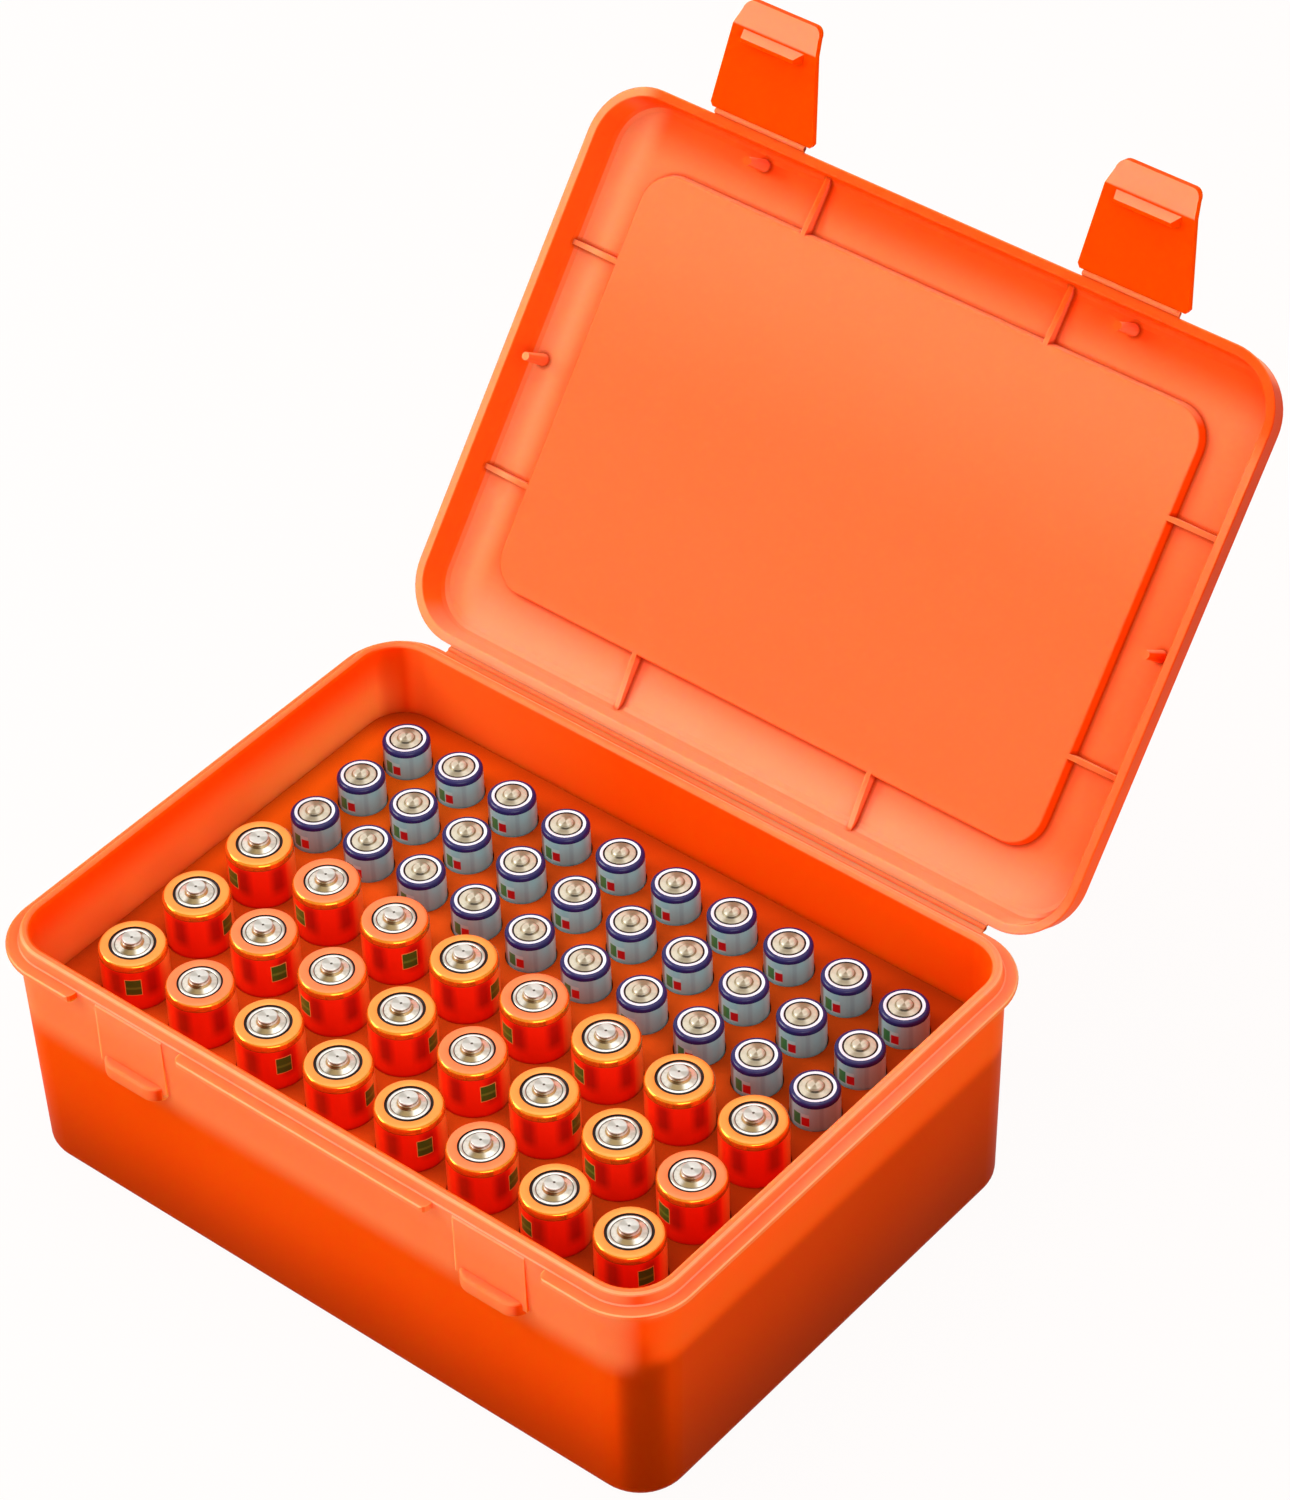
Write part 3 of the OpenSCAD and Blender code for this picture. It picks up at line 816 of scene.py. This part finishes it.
# Groove, rim of the nub and its centre dot: painted shade
GROOVE_SHADE = MetalFinish("cap_groove_painted_shade", colour=(0.05, 0.035, 0.02), dark=(0.03, 0.02, 0.01), roughness=0.5,
                     metallic=0.2)
FILM_SEAM = MetalFinish("film_seam", colour=(0.26, 0.03, 0.0), dark=(0.12, 0.012, 0.0), roughness=0.4,
                        metallic=0.2)
PALE_STEEL = MetalFinish("cap_pale_steel", colour=(0.62, 0.59, 0.46), dark=(0.26, 0.22, 0.13),
                         roughness=0.3, metallic=0.2, mottle=0.3, mottle_scale=900.0,
                         wedge=(0.19, 0.15, 0.08), wedge_angle=-62.0, wedge_amount=0.75, rings=0.3)
# Dome foot: painted shade
DOME_FOOT_SHADE = MetalFinish("cap_dome_foot_painted_shade", colour=(0.30, 0.25, 0.13), dark=(0.05, 0.04, 0.02),
                         roughness=0.35, metallic=0.2, wedge=(0.04, 0.028, 0.012), wedge_angle=-55.0,
                         wedge_amount=1.0)
GOLD = MetalFinish("shoulder_gold", colour=(0.90, 0.29, 0.04), dark=(0.80, 0.21, 0.025), roughness=0.35,
                   metallic=0.3, mottle=0.4, mottle_scale=200.0)
COPPER = MetalFinish("shoulder_copper", colour=(0.87, 0.20, 0.055), dark=(0.80, 0.15, 0.035), roughness=0.4,
                     metallic=0.3, mottle=0.4, mottle_scale=200.0)
GOLD_EDGE = MetalFinish("shoulder_gold_edge", colour=(0.95, 0.32, 0.02), dark=(0.55, 0.13, 0.0),
                        roughness=0.12, metallic=0.8, mottle=0.5, mottle_scale=300.0)
GASKET = MouldedFinish("gasket_black", colour=(0.020, 0.008, 0.006), dark=(0.012, 0.005, 0.004),
                       crease=(0.006, 0.003, 0.003), roughness=0.45, specular=0.2)
NAVY = MouldedFinish("shoulder_navy", colour=(0.016, 0.011, 0.085), dark=(0.010, 0.007, 0.055),
                     crease=(0.008, 0.005, 0.04), roughness=0.2, specular=0.3)
WHITE_RING = MouldedFinish("shoulder_white", colour=(0.75, 0.75, 0.81), dark=(0.66, 0.66, 0.74),
                           crease=(0.5, 0.5, 0.55), roughness=0.3)


class Mark(Enum):
    """Where the plain green field of a large cell is turned to, in degrees."""

    NONE = None
    LEFT = -104.0
    MIDDLE = -49.0
    RIGHT = -24.7
    EDGE = 11.0


RED_SLEEVE = SleeveFinish(
    "sleeve_red", colour=(0.93, 0.013, 0.001), dark=(0.80, 0.008, 0.001), roughness=0.34,
    patches=(
        # Soft bands of painted reflection: two dark ones and two paler orange ones
        Patch((0.22, 0.003, 0.002), angle=-79, half_angle=12, height=43.6, half_height=3.4, angle_edge=14,
              height_edge=2.5, strength=0.7),
        Patch((0.22, 0.003, 0.002), angle=-17, half_angle=12, height=43.6, half_height=3.4, angle_edge=14,
              height_edge=2.5, strength=0.7),
        Patch((0.85, 0.10, 0.008), angle=-125, half_angle=12, height=40.0, half_height=9.0, angle_edge=9,
              height_edge=2.0, strength=0.5),
        Patch((0.96, 0.24, 0.04), angle=32, half_angle=24, height=40.0, half_height=9.0, angle_edge=20,
              height_edge=2.0, strength=0.9),
    ))
GREEN = (0.012, 0.12, 0.010)
GREEN_LIGHT = (0.10, 0.27, 0.03)
CREAM = (0.85, 0.42, 0.10)
GREY_SLEEVE = SleeveFinish(
    "sleeve_grey", colour=(0.27, 0.47, 0.49), dark=(0.22, 0.39, 0.42), roughness=0.34,
    patches=(
        # Upright bands of painted reflection, darker and paler
        Patch((0.18, 0.31, 0.35), angle=-38, half_angle=5, height=30.0, half_height=30.0, angle_edge=4,
              strength=0.5),
        Patch((0.36, 0.52, 0.53), angle=-60, half_angle=7, height=30.0, half_height=30.0, angle_edge=6,
              strength=0.35),
        Patch((0.10, 0.07, 0.05), angle=-126, half_angle=11, height=30.0, half_height=30.0, angle_edge=9,
              strength=0.85),
        Patch((0.38, 0.66, 0.70), angle=22, half_angle=17, height=30.0, half_height=30.0, angle_edge=12,
              strength=0.7),
        # Printed marks: a pale field with a green and a red patch
        Patch((0.70, 0.74, 0.66), angle=-87, half_angle=20.5, height=38.9, half_height=1.75, strength=0.35),
        Patch((0.0, 0.17, 0.055), angle=-97, half_angle=10, height=38.9, half_height=1.6),
        Patch((0.50, 0.0, 0.008), angle=-75, half_angle=9.5, height=38.6, half_height=1.15),
    ))


def marked_sleeve(mark: Mark) -> SleeveFinish:
    """Gives the red sleeve its plain green field.

    Args:
        mark: Where the field is turned to.

    Returns:
        The finish of the sleeve.
    """
    if mark is Mark.NONE:
        return RED_SLEEVE
    field_of_green = (
        Patch(CREAM, angle=mark.value, half_angle=13.9, height=42.9, half_height=2.15, angle_edge=0.6),
        Patch(GREEN, angle=mark.value, half_angle=12.9, height=42.9, half_height=2.0, angle_edge=0.6),
        Patch(GREEN_LIGHT, angle=mark.value, half_angle=12.9, height=42.7, half_height=0.3, angle_edge=0.6,
              strength=0.8),
    )
    return replace(RED_SLEEVE, name=f"sleeve_red_{mark.name.lower()}",
                   patches=RED_SLEEVE.patches + field_of_green)


@dataclass
class Lathe:
    """Turns an outline about Z, stretch by stretch. Each stretch has its own material and shading."""

    name: str
    segments: int = 48
    end: list[Point] = field(default_factory=list)
    verts: list[Direction] = field(default_factory=list)
    faces: list[tuple[int, ...]] = field(default_factory=list)
    slots: list[int] = field(default_factory=list)
    materials: list[Material] = field(default_factory=list)

    def ring(self, radius: float, height: float) -> list[int]:
        """Adds a ring of points, or one point on the axis.

        Args:
            radius: Distance from the axis in mm.
            height: Height above the foot in mm.

        Returns:
            The numbers of the points.
        """
        first = len(self.verts)
        for k in range(self.segments if radius > ON_AXIS_MM else 1):
            turn = 2 * math.pi * k / self.segments
            self.verts.append((radius * MM * math.cos(turn), radius * MM * math.sin(turn), height * MM))
        return list(range(first, len(self.verts)))

    def stretch(self, material: Material, *points: Point) -> None:
        """Turns the next stretch of the outline, which starts where the last one ended.

        Args:
            material: Material of its faces.
            *points: Its further points, in mm from the axis and from the foot.
        """
        if material not in self.materials:
            self.materials.append(material)
        rings = [self.ring(*point) for point in (*self.end, *points)]
        for low, high in zip(rings, rings[1:]):
            for k in range(self.segments):
                after = (k + 1) % self.segments
                corners = (low[k % len(low)], low[after % len(low)],
                           high[after % len(high)], high[k % len(high)])
                unique = tuple(dict.fromkeys(corners))
                if len(unique) > 2:
                    self.faces.append(unique)
                    self.slots.append(self.materials.index(material))
        self.end = [points[-1]]

    def build(self) -> bpy.types.Mesh:
        """Makes the mesh.

        Returns:
            The mesh, in metres and smooth inside each stretch.
        """
        mesh = bpy.data.meshes.new(self.name)
        mesh.from_pydata(self.verts, [], self.faces)
        for material in self.materials:
            mesh.materials.append(material)
        mesh.polygons.foreach_set("material_index", self.slots)
        mesh.polygons.foreach_set("use_smooth", [True] * len(self.faces))
        mesh.update()
        return mesh


@dataclass
class Cell:
    """What both sizes of cell have: a foot, a film, a rounded shoulder, a gasket's gap and a turned cap.

    All sizes are in mm. The steps of the cap go from its rim in to the axis: the finish of each, and its
    points as a radius and a height above the flat of the can.
    """

    finishes: Finishes
    radius: float
    height: float
    shoulder_r: float
    foot_r: float
    under_film: float
    edge_h: float
    gap_r: float
    gap_depth: float
    ring_bevel: Point
    cap_r: float
    cap_edge: float
    cap_steps: tuple[tuple[str, Outline], ...]

    @property
    def band(self) -> float:
        """Returns the height of the film's top."""
        return self.height - self.shoulder_r - self.edge_h

    def can(self, lathe: Lathe, metal: Material, sleeve: Material, film_top: float) -> None:
        """Turns the foot and the film.

        Args:
            lathe: The lathe of this cell.
            metal: Material of the foot.
            sleeve: Material of the film.
            film_top: Height at which the film ends.
        """
        turn_r = self.radius - self.foot_r
        lathe.stretch(metal, (0.0, 0.0), (turn_r - self.under_film, 0.0))
        lathe.stretch(sleeve, *arc((turn_r, self.foot_r), self.foot_r, -90, 0, 4),
                      (self.radius, self.height * 0.5), (self.radius, film_top))

    def shoulder(self) -> list[Point]:
        """Lists the points of the shoulder, from the wall to the flat top."""
        centre = (self.radius - self.shoulder_r, self.height - self.shoulder_r)
        return arc(centre, self.shoulder_r, 0, 90, 8)

    def crown(self, lathe: Lathe, ring: Material, ring_points: list[Point], gap_r: float) -> None:
        """Turns the ring round the cap, the gasket's gap and the cap.

        Args:
            lathe: The lathe of this cell.
            ring: Material of the ring.
            ring_points: Points of the ring before its inner bevel.
            gap_r: Outer radius of the gap.
        """
        flat, floor = self.height, self.height - self.gap_depth
        inward, down = self.ring_bevel
        lathe.stretch(ring, *ring_points, (gap_r + inward, flat), (gap_r, flat - down))
        lathe.stretch(self.finishes["gasket"], (gap_r, floor), (self.cap_r, floor),
                      (self.cap_r, flat - self.cap_edge))
        for finish, outline in self.cap_steps:
            lathe.stretch(self.finishes[finish], *((radius, flat + up) for radius, up in outline))


@dataclass
class LargeCell(Cell):
    """A large cell: red sleeve, gold or copper shoulder, gasket gap, ringed steel cap and stepped nub."""

    radius: float = 7.2
    height: float = 48.8
    shoulder_r: float = 1.0
    foot_r: float = 0.72
    under_film: float = 0.6
    edge_h: float = 0.65
    gap_r: float = 4.95
    gap_depth: float = 0.43
    ring_bevel: Point = (0.1, 0.05)
    cap_r: float = 4.34
    cap_edge: float = 0.1
    cap_steps: tuple[tuple[str, Outline], ...] = (
        ("steel", ((4.24, 0.0), (3.82, 0.0), (3.74, -0.07))),
        ("groove", ((3.66, -0.12), (3.56, -0.09))),
        ("cone", ((3.0, 0.08), (2.45, 0.28))),
        ("nub_foot_reflection_and_shade", ((2.43, 0.34), (2.33, 0.42), (2.23, 0.7), (2.15, 0.86))),
        ("cone", ((2.05, 0.9), (2.05, 1.4))),
        ("groove", ((2.02, 1.5),)),
        ("steel_top", (*arc((1.82, 1.5), 0.2, 0, 90, 4)[1:], (1.2, 1.68), (0.4, 1.67), (0.28, 1.65))),
        ("groove", ((0.0, 1.58),)),
    )
    seam_h: float = 0.14
    seam_dip: float = 0.03
    gold_edge_points: int = 6
    copper_ring_more: float = 0.2

    def build(self, shoulder: Shoulder, sleeve: Material) -> bpy.types.Mesh:
        """Turns the cell.

        Args:
            shoulder: Colour of the ring round the cap.
            sleeve: Material of the film.

        Returns:
            The mesh, standing on its foot at the origin.
        """
        gap_r = self.gap_r - (self.copper_ring_more if shoulder is Shoulder.COPPER else 0.0)
        edge, split = self.shoulder(), self.gold_edge_points
        lathe = Lathe(f"large_cell_{shoulder.value}_{sleeve.name}")
        self.can(lathe, self.finishes["steel"], sleeve, self.band - self.seam_h)
        lathe.stretch(self.finishes["seam"], (self.radius - self.seam_dip, self.band - self.seam_h / 2),
                      (self.radius, self.band))
        lathe.stretch(self.finishes["gold_edge"], *edge[:split])
        self.crown(lathe, self.finishes[shoulder.value], edge[split:], gap_r)
        return lathe.build()


@dataclass
class SmallCell(Cell):
    """A small cell: grey sleeve, navy shoulder, white ring, gasket line and a domed cap."""

    radius: float = 5.2
    height: float = 43.7
    shoulder_r: float = 0.73
    foot_r: float = 0.52
    under_film: float = 0.5
    edge_h: float = 0.5
    gap_r: float = 3.66
    gap_depth: float = 0.25
    ring_bevel: Point = (0.05, 0.03)
    cap_r: float = 3.26
    cap_edge: float = 0.05
    cap_steps: tuple[tuple[str, Outline], ...] = (
        ("pale_steel", ((3.18, 0.0), (2.6, 0.05), (2.0, 0.14))),
        ("dome_foot_shade", ((1.78, 0.24), (1.66, 0.42))),
        ("pale_steel", ((1.5, 0.64), (1.2, 0.76), (0.8, 0.79), (0.0, 0.8))),
    )
    white_r: float = 4.3

    def build(self) -> bpy.types.Mesh:
        """Turns the cell.

        Returns:
            The mesh, standing on its foot at the origin.
        """
        lathe = Lathe("small_cell")
        self.can(lathe, self.finishes["pale_steel"], self.finishes["grey"], self.band)
        lathe.stretch(self.finishes["navy"], *self.shoulder(), (self.white_r, self.height))
        self.crown(lathe, self.finishes["white"], [], self.gap_r)
        return lathe.build()


@dataclass
class CellSet:
    """All cells: one shared mesh of each sort, placed where its node stands."""

    groups: Groups
    copper_cells: frozenset[int] = frozenset({2, 6, 10, 11, 13, 16, 18, 19, 21})
    marks: dict[Mark, frozenset[int]] = field(default_factory=lambda: {
        Mark.NONE: frozenset({2, 23, 24}),
        Mark.MIDDLE: frozenset({1}),
        Mark.RIGHT: frozenset({3, 5, 8, 10, 13, 19}),
        Mark.EDGE: frozenset({4, 6, 9, 12, 14, 20}),
        Mark.LEFT: frozenset({7, 11, 15, 16, 17, 18, 21, 22}),
    })

    def make_materials(self) -> Finishes:
        """Builds the finishes that the cells share.

        Returns:
            The materials by name.
        """
        named = {"steel": STEEL, "cone": CONE, "steel_top": STEEL_TOP, "nub_foot_reflection_and_shade": NUB_FOOT_REFLECTION_AND_SHADE, "groove": GROOVE_SHADE,
                 "seam": FILM_SEAM, "pale_steel": PALE_STEEL, "dome_foot_shade": DOME_FOOT_SHADE,
                 "gold": GOLD, "copper": COPPER, "gold_edge": GOLD_EDGE, "gasket": GASKET, "navy": NAVY,
                 "white": WHITE_RING, "grey": GREY_SLEEVE}
        return {name: finish.make(self.groups) for name, finish in named.items()}

    def place(self, mesh: bpy.types.Mesh, node: str, slot: str) -> bpy.types.Object:
        """Stands a cell where its node is.

        Args:
            mesh: The shared mesh.
            node: The CAD node that it stands for.
            slot: The record's material slot; not used.

        Returns:
            The new object.
        """
        low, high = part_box(node)
        cell = add_object(f"{node}_body", mesh)
        cell.location = ((low[0] + high[0]) / 2, (low[1] + high[1]) / 2, low[2])
        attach(cell, CASE_BODY)
        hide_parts(node)
        return cell

    def build(self) -> None:
        """Places every cell, with a mesh for each pair of shoulder and mark that is in use."""
        materials = self.make_materials()
        sleeves = {mark: marked_sleeve(mark).make(self.groups) for mark in Mark}
        mark_of = {number: mark for mark, numbers in self.marks.items() for number in numbers}
        large: dict[tuple[Shoulder, Mark], bpy.types.Mesh] = {}
        small = SmallCell(materials).build()
        for node in sorted(frame["nodes"]):
            if node.startswith(CellKind.AAA.value):
                self.place(small, node, "aaa_sleeve")
            elif node.startswith(CellKind.AA.value):
                number = int(node.rsplit("_", 1)[1])
                sort = (Shoulder.COPPER if number in self.copper_cells else Shoulder.GOLD, mark_of[number])
                if sort not in large:
                    large[sort] = LargeCell(materials).build(sort[0], sleeves[sort[1]])
                self.place(large[sort], node, "aa_sleeve")
        LOG.info("cells placed, with %d sorts of large cell", len(large))


@dataclass(frozen=True)
class Fold:
    """A moulded hinge's folding line: its skin's name, radius and length, in mm."""

    skin: str
    radius: float
    length: float


@dataclass
class HingeSkins:
    """Round skins over the folding lines of the moulded hinges, which close their fine slits."""

    groups: Groups
    folds: dict[str, Fold] = field(default_factory=lambda: {
        "lid_hinge": Fold("hinge_skin", 0.515, 144.0),
        "latch_left_fold": Fold("left_fold_skin", 0.55, 23.8),
        "latch_right_fold": Fold("right_fold_skin", 0.55, 23.8),
    })
    segments: int = 20

    def lay(self, fold: Fold, place: Direction, body: str, material: Material) -> None:
        """Lays one skin along X, on the folding line.

        Args:
            fold: The folding line's sizes.
            place: Its middle, in metres.
            body: The body that carries the hinge.
            material: Material of the skin.
        """
        half = fold.length / 2
        lathe = Lathe(fold.skin, self.segments)
        lathe.stretch(material, (0.0, -half), (fold.radius, -half))
        lathe.stretch(material, (fold.radius, half))
        lathe.stretch(material, (0.0, half))
        made = add_object(fold.skin, lathe.build())
        made.location = place
        made.rotation_euler = (0.0, math.pi / 2, 0.0)
        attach(made, body)
        LOG.info("%s laid on %s", fold.skin, body)

    def build(self) -> None:
        """Lays the skin of each hinge at its joint."""
        material = HINGE_ORANGE.make(self.groups)
        for joint in frame["joints"]:
            self.lay(self.folds[joint["name"]], joint["pos_m"], joint["parent"], material)


@dataclass
class CaseShell:
    """The moulded pieces, whose CAD shapes are kept and dressed."""

    groups: Groups

    def build(self) -> None:
        """Gives each moulded node its material."""
        latch = LATCH_ORANGE.make(self.groups)
        for name, material in (("base", ORANGE.make(self.groups)), ("lid", LID_ORANGE.make(self.groups)),
                               ("latch_left", latch), ("latch_right", latch),
                               ("tray", TRAY.make(self.groups))):
            node = frame["nodes"][name]
            node.data.materials.clear()
            node.data.materials.append(material)
            LOG.info("%s dressed as %s", name, material.name)


@dataclass(frozen=True)
class Lamp:
    """A square soft light: its place and the length of its side in metres, and its power in watts."""

    name: str
    place: Direction
    side: float
    watts: float


@dataclass
class Studio:
    """Floor, lights, world and camera. Angles are in degrees."""

    focal_px: float = 5272.28
    azimuth: float = 40.8207
    elevation: float = 41.4422
    roll: float = -2.2037
    distance_mm: float = 1154.058
    target_mm: Direction = (-37.5967, 88.3792, 30.0)
    nearest: float = 0.01
    floor_size: float = 6.0
    floor_drop: float = 0.0002
    floor_colour: Colour = (0.4, 0.4, 0.4)
    floor_roughness: float = 0.9
    floor_glow: float = 1.03
    floor_share: float = 0.95
    world_strength: float = 0.8
    lamp_aim: Direction = (0.0, 0.02, 0.05)
    lamps: tuple[Lamp, ...] = (
        Lamp("key", (-0.95, -0.55, 0.85), 0.7, 13.0),
        Lamp("top", (-0.1, 0.2, 1.3), 0.9, 5.0),
        Lamp("fill", (1.0, -0.75, 0.5), 0.8, 6.0),
    )

    def show_backdrop(self, build: NodeBuilder, lit: Node, plain: Node, out: Node,
                      share: float = 1.0) -> None:
        """Shows a plain shader to camera, mirrored and passed through rays, and another to the rest.

        Args:
            build: Builder of the tree.
            lit: Shader for the other rays.
            plain: Shader of the white background.
            out: The tree's output node.
            share: Share of the plain shader where it is shown.
        """
        path = build.add("ShaderNodeLightPath")
        mirrored = build.maths("MAXIMUM", path.outputs["Is Camera Ray"], path.outputs["Is Glossy Ray"])
        seen = build.maths("MAXIMUM", mirrored, path.outputs["Is Transmission Ray"])
        mixed = build.add("ShaderNodeMixShader")
        build.join(build.maths("MULTIPLY", seen, share), mixed.inputs[0])
        build.join(lit.outputs[0], mixed.inputs[1])
        build.join(plain.outputs[0], mixed.inputs[2])
        build.join(mixed.outputs[0], out.inputs["Surface"])

    def floor(self) -> None:
        """Lays a plain white floor that the camera sees as nearly white, with the case's shadow on it."""
        half = self.floor_size / 2
        mesh = bpy.data.meshes.new("floor")
        mesh.from_pydata([(-half, -half, 0), (half, -half, 0), (half, half, 0), (-half, half, 0)], [],
                         [(0, 1, 2, 3)])
        floor = add_object("floor", mesh)
        floor.location.z = -self.floor_drop
        material, build, shader = start_material("floor_white")
        shader.inputs["Base Color"].default_value = rgba(self.floor_colour)
        shader.inputs["Roughness"].default_value = self.floor_roughness
        glow = build.add("ShaderNodeEmission")
        glow.inputs["Color"].default_value = rgba(BACKDROP)
        glow.inputs["Strength"].default_value = self.floor_glow
        self.show_backdrop(build, shader, glow, material.node_tree.nodes["Material Output"],
                           self.floor_share)
        mesh.materials.append(material)
        floor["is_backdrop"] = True

    def light(self) -> None:
        """Hangs the lamps and sets the world."""
        for lamp in self.lamps:
            data = bpy.data.lights.new(lamp.name, "AREA")
            data.size = lamp.side
            data.energy = lamp.watts
            hung = add_object(lamp.name, data)
            hung.location = lamp.place
            aim = Vector(self.lamp_aim) - Vector(lamp.place)
            hung.rotation_euler = aim.to_track_quat("-Z", "Y").to_euler()
        world = bpy.data.worlds.new("studio")
        bpy.context.scene.world = world
        world.use_nodes = True
        build = NodeBuilder(world.node_tree)
        glow = world.node_tree.nodes["Background"]
        glow.inputs["Color"].default_value = rgba(BACKDROP)
        glow.inputs["Strength"].default_value = self.world_strength
        plain = build.add("ShaderNodeBackground")
        plain.inputs["Color"].default_value = rgba(BACKDROP)
        self.show_backdrop(build, glow, plain, world.node_tree.nodes["World Output"])

    def camera(self) -> None:
        """Sets the camera at the photograph's place, found from the cells and the rim."""
        turn, lift, roll = (math.radians(a) for a in (self.azimuth, self.elevation, self.roll))
        back = Vector((math.sin(turn) * math.cos(lift), -math.cos(turn) * math.cos(lift), math.sin(lift)))
        right = Vector((math.cos(turn), math.sin(turn), 0.0))
        up = back.cross(right)
        right, up = (right * math.cos(roll) + up * math.sin(roll),
                     up * math.cos(roll) - right * math.sin(roll))
        data = bpy.data.cameras.new("camera")
        data.lens = self.focal_px / IMAGE_HEIGHT_PX * SENSOR_MM
        data.sensor_width = SENSOR_MM
        data.sensor_fit = "AUTO"
        data.clip_start = self.nearest
        camera = add_object("camera", data)
        axes = Matrix((right, up, back)).transposed().to_4x4()
        spot = Vector(self.target_mm) * MM + back * self.distance_mm * MM
        camera.matrix_world = Matrix.Translation(spot) @ axes
        bpy.context.scene.camera = camera

    def build(self) -> None:
        """Builds the whole studio."""
        self.floor()
        self.light()
        self.camera()
        bpy.context.scene.view_settings.view_transform = "Standard"
        LOG.info("studio built")


def write_sizes() -> None:
    """Works out the CAD box and the dressed model's box as plain lists."""
    boxes = {"cad": CAD_BOX, "visual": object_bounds()}
    plain = {name: [[float(n) for n in corner] for corner in box] for name, box in boxes.items()}


def main() -> None:
    """Builds the dressed model and the studio."""
    logging.basicConfig(level=logging.INFO)
    groups = Groups()
    CaseShell(groups).build()
    HingeSkins(groups).build()
    CellSet(groups).build()
    Studio().build()
    bpy.context.view_layer.update()
    write_sizes()


if __name__ == "__main__":
    main()
